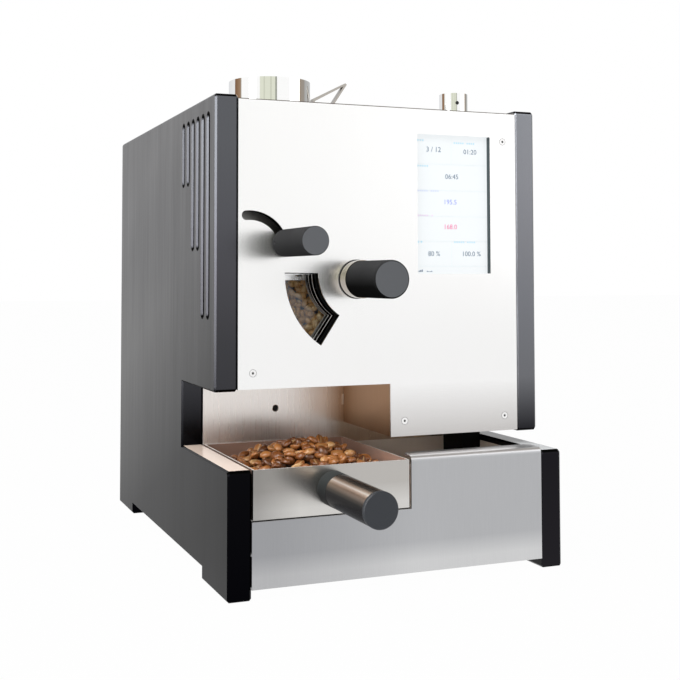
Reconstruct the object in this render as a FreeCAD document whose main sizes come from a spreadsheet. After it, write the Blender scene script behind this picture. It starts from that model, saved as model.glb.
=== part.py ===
import FreeCAD, Part
import math
import os
import Sketcher

vec = FreeCAD.Vector
doc = FreeCAD.newDocument("bean_roaster")
sheet = doc.addObject("Spreadsheet::Sheet", "sizes")
pieces = []


# A length or an angle that knows its number and the spreadsheet expression it comes from.
class Size:
    def __init__(self, text, value):
        self.text = text
        self.value = value

    def join(self, sign, other, value):
        return Size("(" + self.text + " " + sign + " " + other.text + ")", value)

    def __add__(self, other):
        other = sized(other)
        return self.join("+", other, self.value + other.value)

    def __sub__(self, other):
        other = sized(other)
        return self.join("-", other, self.value - other.value)

    def __mul__(self, other):
        other = sized(other)
        return self.join("*", other, self.value * other.value)

    def __truediv__(self, other):
        other = sized(other)
        return self.join("/", other, self.value / other.value)

    def __radd__(self, other):
        return sized(other) + self

    def __rsub__(self, other):
        return sized(other) - self

    def __rmul__(self, other):
        return sized(other) * self

    def __neg__(self):
        return sized(0) - self


def sized(amount):
    if isinstance(amount, Size):
        return amount
    return Size(repr(float(amount)), float(amount))


def size(name, number):
    row = str(len(sheetRows) + 1)
    sheetRows.append(name)
    sheet.set("A" + row, name)
    sheet.set("B" + row, str(number))
    sheet.setAlias("B" + row, name)
    return Size("sizes." + name, float(number))


sheetRows = []

# Sizes in millimetres and degrees. x runs from the left plate's outer face, y from the front of
# the upper body to the back, z from the surface that the feet stand on.

# Side plates
width = size("width", 378.0)
height = size("height", 505.0)
depth = size("depth", 492.0)
baseReach = size("baseReach", 49.5)
plateThickness = size("plateThickness", 24.5)
baseTop = size("baseTop", 126.5)
leftNotchTop = size("leftNotchTop", 198.0)
rightNotchTop = size("rightNotchTop", 141.0)
notchDepth = size("notchDepth", 136.0)
footRise = size("footRise", 12.5)
frontFootEnd = size("frontFootEnd", 47.0)
rearFootStart = size("rearFootStart", 401.5)
plateChamfer = size("plateChamfer", 2.0)
footRound = size("footRound", 2.5)
outlineRound = size("outlineRound", 4.5)
slotCount = 6
slotPitch = size("slotPitch", 21.0)
slotFirst = size("slotFirst", 27.0)
slotWidth = size("slotWidth", 10.0)
slotDrop = size("slotDrop", 17.5)
slotLength = size("slotLength", 69.5)
slotStep = size("slotStep", 72.5)

# Sheet metal
fitGap = size("fitGap", 0.3)
panelThickness = size("panelThickness", 2.0)
linerThickness = size("linerThickness", 1.2)
panelDrop = size("panelDrop", 3.5)
panelLip = size("panelLip", 2.0)
panelEdgeRound = size("panelEdgeRound", 1.9)
hoodSide = size("hoodSide", 196.5)
innerPanelFront = size("innerPanelFront", 9.0)
innerPanelThickness = size("innerPanelThickness", 1.5)
bulkheadFront = size("bulkheadFront", 40.0)
bulkheadThickness = size("bulkheadThickness", 3.0)
rearPanelInset = size("rearPanelInset", 8.0)
floorBottom = size("floorBottom", 12.8)
basePanelBottom = size("basePanelBottom", 10.3)
baseFlangeTop = size("baseFlangeTop", 130.0)
baseFlangeReach = size("baseFlangeReach", 26.0)
baseBend = size("baseBend", 6.0)
flangeCorner = size("flangeCorner", 12.0)
sensorHoleRadius = size("sensorHoleRadius", 3.4)
sensorHoleX = size("sensorHoleX", 111.0)
sensorHoleZ = size("sensorHoleZ", 163.3)
ductWidth = size("ductWidth", 23.5)
ductDepth = size("ductDepth", 49.5)
basinWallTop = size("basinWallTop", 120.0)

# Countersunk screws of the front panel
screwHeadRadius = size("screwHeadRadius", 3.8)
screwShankRadius = size("screwShankRadius", 2.0)
screwHeadDepth = size("screwHeadDepth", 1.8)
screwLength = size("screwLength", 8.0)
screwNeck = size("screwNeck", 0.5)
screwSocketRadius = size("screwSocketRadius", 1.3)
screwSocketDepth = size("screwSocketDepth", 1.2)
screwInset = size("screwInset", 16.5)
screwRise = size("screwRise", 16.5)
topScrewDrop = size("topScrewDrop", 33.0)

# Roasting drum and chamber
drumX = size("drumX", 166.0)
drumZ = size("drumZ", 318.5)
drumRadius = size("drumRadius", 93.5)
drumWall = size("drumWall", 1.5)
drumFrontGap = size("drumFrontGap", 2.0)
drumLength = size("drumLength", 120.0)
drumVentRadius = size("drumVentRadius", 9.0)
drumVentCircle = size("drumVentCircle", 55.0)
drumVentCount = 8
vaneCount = 4
vaneHeight = size("vaneHeight", 14.0)
vaneThickness = size("vaneThickness", 2.0)
vaneEndGap = size("vaneEndGap", 5.0)
shaftRadius = size("shaftRadius", 6.0)
shaftFlangeRadius = size("shaftFlangeRadius", 22.0)
shaftFlangeThickness = size("shaftFlangeThickness", 4.0)
runGap = size("runGap", 0.05)
pressGap = size("pressGap", 0.02)
chamberRadius = size("chamberRadius", 101.5)
chamberLength = size("chamberLength", 169.0)
insulationThickness = size("insulationThickness", 12.0)
rearPlateThickness = size("rearPlateThickness", 3.0)
rearPlateMargin = size("rearPlateMargin", 113.0)
rearPlateInset = size("rearPlateInset", 43.0)
heaterRadius = size("heaterRadius", 72.0)
heaterTubeRadius = size("heaterTubeRadius", 3.2)
heaterRings = 3
heaterPitch = size("heaterPitch", 10.0)
heaterTail = size("heaterTail", 18.0)
heaterTailRadius = size("heaterTailRadius", 2.8)
bearingRadius = size("bearingRadius", 14.0)
bearingWidth = size("bearingWidth", 8.0)
carrierRadius = size("carrierRadius", 17.5)
carrierLength = size("carrierLength", 46.0)
carrierFlangeRadius = size("carrierFlangeRadius", 30.0)
carrierFlangeThickness = size("carrierFlangeThickness", 4.0)
pulleyRadius = size("pulleyRadius", 26.0)
motorPulleyRadius = size("motorPulleyRadius", 13.0)
pulleyWidth = size("pulleyWidth", 12.0)
pulleyGap = size("pulleyGap", 6.0)
beltThickness = size("beltThickness", 2.5)
beltWidth = size("beltWidth", 9.0)
motorX = size("motorX", 90.0)
motorZ = size("motorZ", 250.0)
motorRadius = size("motorRadius", 24.0)
motorLength = size("motorLength", 46.0)
motorShaftRadius = size("motorShaftRadius", 4.0)
motorShaftDepth = size("motorShaftDepth", 20.0)

# Bean window
windowInner = size("windowInner", 52.5)
windowOuter = size("windowOuter", 90.5)
windowStart = size("windowStart", 179.0)
windowSweep = size("windowSweep", 57.5)
windowMargin = size("windowMargin", 7.0)
windowStep = size("windowStep", 0.7)
ringCount = 3
ringThickness = size("ringThickness", 2.0)
ringPitch = size("ringPitch", 8.4)
spacerRecess = size("spacerRecess", 1.2)
retainerThickness = size("retainerThickness", 1.2)
retainerLip = size("retainerLip", 8.0)
retainerSlotInset = size("retainerSlotInset", 24.0)
retainerSlotLength = size("retainerSlotLength", 8.0)
retainerSlotTop = size("retainerSlotTop", 4.2)
retainerSlotHeight = size("retainerSlotHeight", 1.6)
glassThickness = size("glassThickness", 3.5)
glassMargin = size("glassMargin", 5.0)

# Discharge lever, its cable and the door
leverX = size("leverX", 37.5)
leverZ = size("leverZ", 341.5)
leverReach = size("leverReach", 38.0)
leverRest = size("leverRest", 14.0)
leverTravel = size("leverTravel", 82.0)
leverSlotWidth = size("leverSlotWidth", 10.0)
leverHubRadius = size("leverHubRadius", 8.0)
leverArmThickness = size("leverArmThickness", 3.5)
leverArmWidth = size("leverArmWidth", 12.0)
leverStemRadius = size("leverStemRadius", 4.2)
leverStemDepth = size("leverStemDepth", 22.0)
knobRadius = size("knobRadius", 14.4)
knobEnd = size("knobEnd", 94.5)
knobGap = size("knobGap", 6.5)
knobChamfer = size("knobChamfer", 0.8)
setScrewRadius = size("setScrewRadius", 1.6)
setScrewOffset = size("setScrewOffset", 12.5)
stemEndGap = size("stemEndGap", 0.5)
quadrantRadius = size("quadrantRadius", 9.8)
quadrantFront = size("quadrantFront", 24.0)
quadrantThickness = size("quadrantThickness", 4.0)
studRadius = size("studRadius", 4.0)
leverStudStep = size("leverStudStep", 1.0)
doorPivotX = size("doorPivotX", 187.0)
doorPivotZ = size("doorPivotZ", 273.0)
portX = size("portX", 160.0)
portZ = size("portZ", 252.0)
portRadius = size("portRadius", 17.0)
doorLap = size("doorLap", 3.0)
doorThickness = size("doorThickness", 2.5)
doorHubRadius = size("doorHubRadius", 6.5)
doorArmWidth = size("doorArmWidth", 14.0)
cableRadius = size("cableRadius", 2.5)
wireRadius = size("wireRadius", 0.8)
cableBend = size("cableBend", 20.0)
cableGap = size("cableGap", 0.4)
leverLead = size("leverLead", 23.0)
doorLead = size("doorLead", 22.0)
cableTabThickness = size("cableTabThickness", 5.0)
cableTabWidth = size("cableTabWidth", 12.0)
cableTabReach = size("cableTabReach", 22.0)
dropLeft = size("dropLeft", 131.0)
dropRight = size("dropRight", 191.0)
dropCollar = size("dropCollar", 14.0)

# Sampling trier
trierX = size("trierX", 157.0)
trierZ = size("trierZ", 313.0)
gasketRadius = size("gasketRadius", 21.0)
gasketThickness = size("gasketThickness", 1.2)
collarRadius = size("collarRadius", 20.3)
collarLength = size("collarLength", 16.0)
collarLip = size("collarLip", 1.0)
guideRadius = size("guideRadius", 14.5)
guideBore = size("guideBore", 13.0)
bushThickness = size("bushThickness", 1.9)
handleRadius = size("handleRadius", 19.5)
handleEnd = size("handleEnd", 91.5)
handleChamfer = size("handleChamfer", 1.5)
spoonEnd = size("spoonEnd", 140.0)
spoonWall = size("spoonWall", 1.5)

# Feed: hopper, gate and chute
hopperX = size("hopperX", 94.8)
hopperY = size("hopperY", 110.0)
hopperRadius = size("hopperRadius", 46.5)
hopperRise = size("hopperRise", 36.5)
hopperWall = size("hopperWall", 1.5)
funnelTopDrop = size("funnelTopDrop", 9.0)
throatRadius = size("throatRadius", 22.0)
gateThickness = size("gateThickness", 2.0)
gateWidth = size("gateWidth", 52.0)
gateSlitPlay = size("gateSlitPlay", 0.5)
gateSlitStart = size("gateSlitStart", 30.0)
gateSlitEnd = size("gateSlitEnd", 60.0)
gateSlitGap = size("gateSlitGap", 0.1)
funnelPress = size("funnelPress", 0.2)
gateKneeRun = size("gateKneeRun", 1.5)
gateOverlap = size("gateOverlap", 13.0)
gateHandleWidth = size("gateHandleWidth", 10.0)
gateFootGap = size("gateFootGap", 4.0)
gatePeakReach = size("gatePeakReach", 93.0)
gatePeakRise = size("gatePeakRise", 41.5)
gateKneeRise = size("gateKneeRise", 19.5)
gateReach = size("gateReach", 68.2)
feedX = size("feedX", 120.0)
feedZ = size("feedZ", 378.0)
feedRadius = size("feedRadius", 14.0)
feedWidth = size("feedWidth", 40.0)
feedBottomGap = size("feedBottomGap", 3.0)
feedMouth = size("feedMouth", 50.0)
feedBend = size("feedBend", 42.0)
feedPassLeft = size("feedPassLeft", 84.0)
feedPassRight = size("feedPassRight", 141.5)

# Airflow: damper, exhaust and blower
damperInset = size("damperInset", 51.0)
damperY = size("damperY", 100.0)
damperKnobRadius = size("damperKnobRadius", 17.0)
damperRise = size("damperRise", 35.0)
damperScrewDrop = size("damperScrewDrop", 12.0)
damperScrewRadius = size("damperScrewRadius", 2.0)
damperScrewTurn = size("damperScrewTurn", 259.0)
damperKnobGap = size("damperKnobGap", 1.5)
damperShaftRadius = size("damperShaftRadius", 4.0)
damperShaftDepth = size("damperShaftDepth", 25.0)
pipeRadius = size("pipeRadius", 20.0)
pipeWall = size("pipeWall", 1.2)
pipeDrop = size("pipeDrop", 55.0)
pipeRoot = size("pipeRoot", 60.0)
pipeOverlap = size("pipeOverlap", 10.0)
branchY = size("branchY", 72.0)
branchZ = size("branchZ", 360.0)
spigotReach = size("spigotReach", 20.0)
blowerInset = size("blowerInset", 93.0)
blowerZ = size("blowerZ", 255.0)
blowerRadius = size("blowerRadius", 45.0)
blowerDepth = size("blowerDepth", 40.0)
blowerWall = size("blowerWall", 2.0)
impellerRadius = size("impellerRadius", 38.0)
impellerWidth = size("impellerWidth", 24.0)
impellerVanes = 12
blowerMotorRadius = size("blowerMotorRadius", 22.0)
blowerMotorLength = size("blowerMotorLength", 40.0)
outletX = size("outletX", 200.0)
outletZ = size("outletZ", 262.0)
outletRadius = size("outletRadius", 12.0)
blowerDuctWall = size("blowerDuctWall", 4.0)
blowerPassageGap = size("blowerPassageGap", 2.0)
blowerAxleReach = size("blowerAxleReach", 18.0)
blowerBoreReach = size("blowerBoreReach", 20.0)
intakeCount = 4
intakeInset = size("intakeInset", 11.0)
intakeRadius = size("intakeRadius", 7.0)
impellerGap = size("impellerGap", 4.0)
impellerDisc = size("impellerDisc", 2.0)
impellerHub = size("impellerHub", 9.0)
impellerVaneThickness = size("impellerVaneThickness", 1.6)
impellerVaneTurn = size("impellerVaneTurn", 25.0)

# Display
displayInset = size("displayInset", 148.2)
displayWidth = size("displayWidth", 90.7)
displayDrop = size("displayDrop", 186.1)
displayHeight = size("displayHeight", 154.0)
screenRecess = size("screenRecess", 6.0)
screenMargin = size("screenMargin", 6.0)
screenThickness = size("screenThickness", 1.5)
moduleDepth = size("moduleDepth", 9.0)
moduleMargin = size("moduleMargin", 2.0)
postSide = size("postSide", 5.0)

# Bean tray
trayPlateGap = size("trayPlateGap", 1.4)
trayHoodGap = size("trayHoodGap", 1.9)
trayBottom = size("trayBottom", 77.4)
trayWall = size("trayWall", 1.5)
trayBackGap = size("trayBackGap", 1.5)
trayLedge = size("trayLedge", 10.0)
panelCutGap = size("panelCutGap", 2.7)
panelTopGap = size("panelTopGap", 1.7)
screenSheet = size("screenSheet", 1.2)
perforationRows = 7
perforationColumns = 14
perforationWidth = size("perforationWidth", 3.0)
perforationLength = size("perforationLength", 14.0)
grip = size("grip", 17.5)
gripZ = size("gripZ", 103.0)
gripCollar = size("gripCollar", 22.0)
gripEnd = size("gripEnd", 168.5)
gripTubeStep = size("gripTubeStep", 0.15)
gripCap = size("gripCap", 4.0)
gripChamfer = size("gripChamfer", 1.0)

# Cooling fan under the tray
fanY = size("fanY", 45.0)
fanSide = size("fanSide", 120.0)
fanDepth = size("fanDepth", 25.0)
fanBore = size("fanBore", 57.0)
fanBladeRadius = size("fanBladeRadius", 55.0)
fanHubRadius = size("fanHubRadius", 19.5)
fanBlades = 7
fanBladeThickness = size("fanBladeThickness", 2.0)
fanBladeTilt = size("fanBladeTilt", 40.0)
fanStrut = size("fanStrut", 5.0)
fanBoss = size("fanBoss", 6.0)
fanPinRadius = size("fanPinRadius", 2.5)
fanFoot = size("fanFoot", 3.0)
fanPinLength = size("fanPinLength", 14.0)
rotorFootGap = size("rotorFootGap", 0.8)
rotorTopGap = size("rotorTopGap", 1.5)
rotorBladeRise = size("rotorBladeRise", 22.0)
rotorBladeShift = size("rotorBladeShift", 8.0)
rotorBoreDepth = size("rotorBoreDepth", 13.0)

# Mains inlet and power switch at the back
inletX = size("inletX", 80.0)
inletZ = size("inletZ", 70.0)
inletWidth = size("inletWidth", 48.0)
inletHeight = size("inletHeight", 60.0)
inletLip = size("inletLip", 3.0)
inletRim = size("inletRim", 4.0)
inletBody = size("inletBody", 34.0)
socketWidth = size("socketWidth", 28.0)
socketHeight = size("socketHeight", 20.0)
socketDepth = size("socketDepth", 17.0)
socketDrop = size("socketDrop", 12.0)
contactWidth = size("contactWidth", 2.0)
contactHeight = size("contactHeight", 5.0)
contactPitch = size("contactPitch", 7.0)
contactRecess = size("contactRecess", 9.0)
earthRise = size("earthRise", 2.0)
liveDrop = size("liveDrop", 1.0)
rockerRise = size("rockerRise", 13.0)
rockerRadius = size("rockerRadius", 10.0)
rockerSink = size("rockerSink", 4.0)
rockerFaceRise = size("rockerFaceRise", 5.0)
rockerWidth = size("rockerWidth", 20.0)
rockerTilt = size("rockerTilt", 9.0)
rockerGap = size("rockerGap", 0.4)

# Vents
ventCount = 8
ventPitch = size("ventPitch", 14.0)
ventWidth = size("ventWidth", 5.0)
ventLength = size("ventLength", 70.0)
ventInset = size("ventInset", 42.5)

# Places that follow from the sizes above
zero = sized(0)
innerLeft = plateThickness
innerRight = width - plateThickness
sheetLeft = innerLeft + fitGap
sheetRight = innerRight - fitGap
baseFront = -baseReach
panelTop = height - panelDrop
panelLeftBottom = leftNotchTop + panelLip
panelRightBottom = rightNotchTop + panelLip
rearPanelFront = depth - rearPanelInset - panelThickness
sheetBack = rearPanelFront - fitGap
wallBack = notchDepth + linerThickness
floorTop = floorBottom + panelThickness
bulkheadBack = bulkheadFront + bulkheadThickness
basePanelBack = baseFront + panelThickness
chamberBack = bulkheadBack + chamberLength
rearPlateBack = chamberBack + rearPlateThickness
drumFront = bulkheadBack + drumFrontGap
drumBack = drumFront + drumLength
trayTop = baseTop
trayLeft = plateThickness + trayPlateGap
trayRight = hoodSide - trayHoodGap
trayBack = notchDepth - trayBackGap
trayMiddle = (trayLeft + trayRight) / 2
shelfTop = trayBottom - fitGap
basinLeft = hoodSide + linerThickness + fitGap * 2
deckBottom = panelTop - panelThickness
hopperTop = panelTop + hopperRise
gatePeakX = hopperX + gatePeakReach
gatePeakZ = panelTop + gatePeakRise
gateKneeZ = panelTop + gateKneeRise
gateEnd = hopperX + gateReach
damperX = width - damperInset
damperTop = panelTop + damperRise
pipeZ = height - pipeDrop
blowerX = width - blowerInset
displayX = width - displayInset
displayZ = height - displayDrop
rearPlateRight = width - rearPlateInset
feedBendZ = feedZ + feedRadius + feedBend
leverArmFront = innerPanelFront + innerPanelThickness + fitGap
leverStudFront = leverArmFront + leverStudStep
cableY = quadrantFront + quadrantThickness / 2
wireOffset = quadrantRadius + wireRadius + cableGap
cableZ = leverZ + wireOffset
cableEndX = doorPivotX + wireOffset
cableStart = leverX + leverLead
cableStop = doorPivotZ + doorLead
# The row frame stands on the middle of the box that holds everything.
originX = width / 2
originY = (depth + spigotReach - gripEnd) / 2


def bind(item, prop, amount):
    item.setExpression(prop, sized(amount).text)


def place(item, x, y, z):
    bind(item, "Placement.Base.x", x)
    bind(item, "Placement.Base.y", y)
    bind(item, "Placement.Base.z", z)
    spots[item.Name] = (sized(x), sized(y), sized(z))
    return item


spots = {}


# Plain solids in the machine's own coordinates.
def block(name, x, y, z):
    item = doc.addObject("Part::Box", name)
    bind(item, "Length", x[1] - x[0])
    bind(item, "Width", y[1] - y[0])
    bind(item, "Height", z[1] - z[0])
    return place(item, x[0], y[0], z[0])


# A round rod along an axis; at is its centre across the axis, span its two ends.
def rod(name, axis, radius, at, span, start=0.0, sweep=360.0):
    item = doc.addObject("Part::Cylinder", name)
    bind(item, "Radius", radius)
    bind(item, "Height", span[1] - span[0])
    bind(item, "Angle", sweep)
    if axis == "x":
        item.Placement.Rotation = FreeCAD.Rotation(vec(0, 1, 0), 90)
        return place(item, span[0], at[0], at[1])
    if axis == "y":
        turn = FreeCAD.Rotation(vec(0, 1, 0), -sized(start).value)
        item.Placement.Rotation = turn * FreeCAD.Rotation(vec(1, 0, 0), 90)
        return place(item, at[0], span[1], at[1])
    item.Placement.Rotation = FreeCAD.Rotation(vec(0, 0, 1), sized(start).value)
    return place(item, at[0], at[1], span[0])


# A cone along y whose first radius is at the front, or along z with it at the bottom.
def taper(name, axis, radii, at, span):
    item = doc.addObject("Part::Cone", name)
    bind(item, "Height", span[1] - span[0])
    if axis == "y":
        bind(item, "Radius1", radii[1])
        bind(item, "Radius2", radii[0])
        item.Placement.Rotation = FreeCAD.Rotation(vec(1, 0, 0), 90)
        return place(item, at[0], span[1], at[1])
    bind(item, "Radius1", radii[0])
    bind(item, "Radius2", radii[1])
    return place(item, at[0], at[1], span[0])


def fuse(name, *items):
    if len(items) == 1:
        return items[0]
    item = doc.addObject("Part::MultiFuse", name)
    item.Shapes = list(items)
    return item


def cut(name, base, *tools):
    item = doc.addObject("Part::Cut", name)
    item.Base = base
    item.Tool = fuse(name + "_tools", *tools)
    return item


def common(name, first, second):
    item = doc.addObject("Part::MultiCommon", name)
    item.Shapes = [first, second]
    return item


def group(name, *items):
    item = doc.addObject("Part::Compound", name)
    item.Links = list(items)
    return item


# A ring sector about an axis along y, angles counted from +x towards +z.
def sector(name, radii, at, span, start, sweep):
    outer = rod(name + "_outer", "y", radii[1], at, span, start, sweep)
    inner = rod(name + "_inner", "y", radii[0], at, (span[0] - 1, span[1] + 1))
    return cut(name, outer, inner)


def tube(name, axis, radii, at, span):
    outer = rod(name + "_outer", axis, radii[1], at, span)
    inner = rod(name + "_inner", axis, radii[0], at, (span[0] - 1, span[1] + 1))
    return cut(name, outer, inner)


# A point on a circle about an axis along y.
def around(at, radius, angle):
    turn = math.radians(sized(angle).value)
    return (at[0] + radius * math.cos(turn), at[1] + radius * math.sin(turn))


# Bodies made from sketches. A loop is a list of corners, a circle (u, v, radius) or an upright
# slot (u, low v, high v, radius).
def newBody(name):
    return doc.addObject("PartDesign::Body", name)


def drawCorners(sketch, corners):
    first = sketch.GeometryCount
    count = len(corners)
    points = [vec(sized(u).value, sized(v).value, 0) for u, v in corners]
    for i in range(count):
        sketch.addGeometry(Part.LineSegment(points[i], points[(i + 1) % count]), False)
    for i in range(count):
        following = first + (i + 1) % count
        sketch.addConstraint(Sketcher.Constraint("Coincident", first + i, 2, following, 1))
    for i, (u, v) in enumerate(corners):
        pin(sketch, first + i, 1, u, v)


def pin(sketch, geometry, vertex, u, v):
    for kind, amount in (("DistanceX", sized(u)), ("DistanceY", sized(v))):
        rule = Sketcher.Constraint(kind, -1, 1, geometry, vertex, amount.value)
        number = sketch.addConstraint(rule)
        sketch.setExpression("Constraints[%d]" % number, amount.text)


def setRadius(sketch, geometry, radius):
    number = sketch.addConstraint(Sketcher.Constraint("Radius", geometry, sized(radius).value))
    sketch.setExpression("Constraints[%d]" % number, sized(radius).text)


def drawCircle(sketch, u, v, radius):
    centre = vec(sized(u).value, sized(v).value, 0)
    shape = Part.Circle(centre, vec(0, 0, 1), sized(radius).value)
    geometry = sketch.addGeometry(shape, False)
    pin(sketch, geometry, 3, u, v)
    setRadius(sketch, geometry, radius)


def drawSlot(sketch, u, low, high, radius):
    middle, reach = sized(u).value, sized(radius).value
    bottom, top = sized(low).value, sized(high).value
    up = vec(0, 0, 1)
    upper = Part.ArcOfCircle(Part.Circle(vec(middle, top, 0), up, reach), 0, math.pi)
    lower = Part.ArcOfCircle(Part.Circle(vec(middle, bottom, 0), up, reach), math.pi, 2 * math.pi)
    a = sketch.addGeometry(upper, False)
    b = sketch.addGeometry(lower, False)
    left = Part.LineSegment(vec(middle - reach, top, 0), vec(middle - reach, bottom, 0))
    right = Part.LineSegment(vec(middle + reach, bottom, 0), vec(middle + reach, top, 0))
    c = sketch.addGeometry(left, False)
    d = sketch.addGeometry(right, False)
    for first, end, second, begin in ((a, 2, c, 1), (c, 2, b, 1), (b, 2, d, 1), (d, 2, a, 1)):
        sketch.addConstraint(Sketcher.Constraint("Tangent", first, end, second, begin))
    pin(sketch, a, 3, u, high)
    pin(sketch, b, 3, u, low)
    setRadius(sketch, a, radius)


def draw(body, name, plane, loops, offset=0):
    sketch = body.newObject("Sketcher::SketchObject", name)
    origin = [item for item in body.Origin.OriginFeatures if item.Role == plane][0]
    sketch.AttachmentSupport = [(origin, "")]
    sketch.MapMode = "FlatFace"
    bind(sketch, "AttachmentOffset.Base.z", offset)
    for loop in loops:
        if isinstance(loop, list):
            drawCorners(sketch, loop)
        elif len(loop) == 3:
            drawCircle(sketch, *loop)
        else:
            drawSlot(sketch, *loop)
    return sketch


# Pads and pockets run towards +x, +y or +z from their sketch.
def padOn(body, name, plane, loops, offset, length):
    shift = -offset if plane == "XZ_Plane" else offset
    sketch = draw(body, name + "_sketch", plane, loops, shift)
    feature = body.newObject("PartDesign::Pad", name)
    feature.Profile = sketch
    bind(feature, "Length", length)
    feature.Reversed = plane == "XZ_Plane"
    return feature


def pocketIn(body, name, plane, loops, offset, length):
    shift = -offset if plane == "XZ_Plane" else offset
    sketch = draw(body, name + "_sketch", plane, loops, shift)
    feature = body.newObject("PartDesign::Pocket", name)
    feature.Profile = sketch
    bind(feature, "Length", length)
    feature.Reversed = plane != "XZ_Plane"
    return feature


def repeat(body, name, feature, direction, count, pitch):
    pattern = body.newObject("PartDesign::LinearPattern", name)
    pattern.Originals = [feature]
    sketch = feature.Profile[0]
    pattern.Direction = (sketch, [direction])
    pattern.Mode = "Spacing"
    pattern.Occurrences = count
    bind(pattern, "Offset", pitch)
    body.Tip = pattern
    return pattern


def edgesWhere(shape, test):
    names = []
    for number, edge in enumerate(shape.Edges, 1):
        if test(edge):
            names.append("Edge" + str(number))
    return names


def dress(body, kind, name, base, amount, test):
    doc.recompute()
    feature = body.newObject("PartDesign::" + kind, name)
    feature.Base = (base, edgesWhere(base.Shape, test))
    bind(feature, "Size" if kind == "Chamfer" else "Radius", amount)
    return feature


def rect(u, v):
    return [(u[0], v[0]), (u[1], v[0]), (u[1], v[1]), (u[0], v[1])]


# A finished piece: it gets its name and its place in the row frame.
def node(item, label):
    item.Label = label
    x, y, z = spots.get(item.Name, (zero, zero, zero))
    bind(item, "Placement.Base.x", x - originX)
    bind(item, "Placement.Base.y", y - originY)
    bind(item, "Placement.Base.z", z)
    pieces.append(item)
    return item


# Thick side plate with the hand notch, feet and six vent slots.
def sidePlate(label, left, notchTop):
    body = newBody(label + "_body")
    corners = [(baseFront, zero), (frontFootEnd, zero), (frontFootEnd, footRise), (rearFootStart, footRise),
               (rearFootStart, zero), (depth, zero), (depth, height), (zero, height), (zero, notchTop),
               (notchDepth, notchTop), (notchDepth, baseTop), (baseFront, baseTop)]
    plate = padOn(body, label + "_plate", "YZ_Plane", [corners], left, plateThickness)
    footEdges = [baseFront, frontFootEnd, rearFootStart, depth]

    def isFootEdge(edge):
        box = edge.BoundBox
        if box.XLength < plateThickness.value / 2 or box.ZMax > 0.1:
            return False
        return any(abs(box.YMin - y.value) < 0.1 for y in footEdges)

    feet = dress(body, "Fillet", label + "_feet", plate, footRound, isFootEdge)
    corners = [(baseFront, baseTop), (zero, notchTop), (zero, height), (depth, height)]

    def isCorner(edge):
        box = edge.BoundBox
        across = box.XLength > plateThickness.value / 2
        return across and any(abs(box.YMin - y.value) < 0.1 and abs(box.ZMin - z.value) < 0.1 for y,
                              z in corners)

    dress(body, "Fillet", label + "_corners", feet, outlineRound, isCorner)
    slots = []
    for i in range(slotCount):
        length = slotLength + slotStep * (2 - i // 2)
        top = height - slotDrop - slotWidth / 2
        slots.append((slotFirst + slotPitch * i, top - length + slotWidth, top, slotWidth / 2))
    pocket = pocketIn(body, label + "_slots", "YZ_Plane", slots, left, plateThickness)
    faces = [left.value, (left + plateThickness).value]

    def onFace(edge):
        box = edge.BoundBox
        return box.XLength < 0.01 and any(abs(box.XMin - x) < 0.01 for x in faces)

    dress(body, "Chamfer", label + "_chamfer", pocket, plateChamfer, onFace)
    return node(body, label)


def leverSlot(name, halfWidth, span):
    at = (leverX, leverZ)
    bend = sector(name, (leverReach - halfWidth, leverReach + halfWidth), at, span, leverRest, leverTravel)
    ends = []
    for angle in (leverRest, leverRest + leverTravel):
        ends.append(rod(name + "_end", "y", halfWidth, around(at, leverReach, angle), span))
    return fuse(name + "_round", bend, *ends)


def windowSector(name, grow, span, angleGrow=0.0):
    radii = (windowInner - grow, windowOuter + grow)
    start = windowStart.value - angleGrow
    return sector(name, radii, (drumX, drumZ), span, start, windowSweep.value + 2 * angleGrow)


# The angle by which a sector grows so that its straight edges move out by about grow.
def growAngle(grow):
    middle = (windowInner.value + windowOuter.value) / 2
    return math.degrees(sized(grow).value / middle)


def screwSpots():
    low = panelRightBottom + screwRise
    return [(innerLeft + screwInset, panelLeftBottom + screwRise), (hoodSide + screwInset, low),
            (innerRight - screwInset, low), (innerRight - screwInset, panelTop - topScrewDrop)]


# Brushed front panel, an L with the cut-outs for lever, window, trier, display and screws.
def frontPanel():
    body = newBody("front_panel_body")
    corners = [(sheetLeft, panelLeftBottom), (hoodSide, panelLeftBottom), (hoodSide, panelRightBottom),
               (sheetRight, panelRightBottom), (sheetRight, panelTop), (sheetLeft, panelTop)]
    panel = padOn(body, "front_sheet", "XZ_Plane", [corners], zero, panelThickness)
    opening = rect((displayX, displayX + displayWidth), (displayZ, displayZ + displayHeight))
    pocketIn(body, "display_opening", "XZ_Plane", [opening], zero, panelThickness)
    pocket = pocketIn(body, "trier_hole", "XZ_Plane", [(trierX, trierZ, guideRadius + fitGap)], zero,
                      panelThickness)

    def isTopEdge(edge):
        box = edge.BoundBox
        return box.ZMin > panelTop.value - 0.01 and box.YMax < 0.01 and box.XLength > 1

    dress(body, "Fillet", "front_top_round", pocket, panelEdgeRound, isTopEdge)
    span = (zero - 1, panelThickness + 1)
    tools = [leverSlot("front_lever_slot", leverSlotWidth / 2, span),
             windowSector("front_window", zero, span)]
    for at in screwSpots():
        tools.append(rod("screw_hole", "y", screwShankRadius + fitGap, at, span))
        tools.append(taper("screw_sink", "y", (screwHeadRadius, screwShankRadius), at,
                           (zero, screwHeadDepth)))
    node(cut("front_panel_cut", body, *tools), "front_panel")


# Countersunk socket screws, flush with the front panel.
def panelScrews():
    screws = []
    for at in screwSpots():
        head = taper("screw_head", "y", (screwHeadRadius, screwShankRadius), at, (zero, screwHeadDepth))
        shank = rod("screw_shank", "y", screwShankRadius, at, (screwNeck, screwLength))
        socket = rod("screw_socket", "y", screwSocketRadius, at, (zero - 1, screwSocketDepth))
        screws.append(cut("screw", fuse("screw_solid", head, shank), socket))
    node(group("screws", *screws), "panel_screws")


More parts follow.
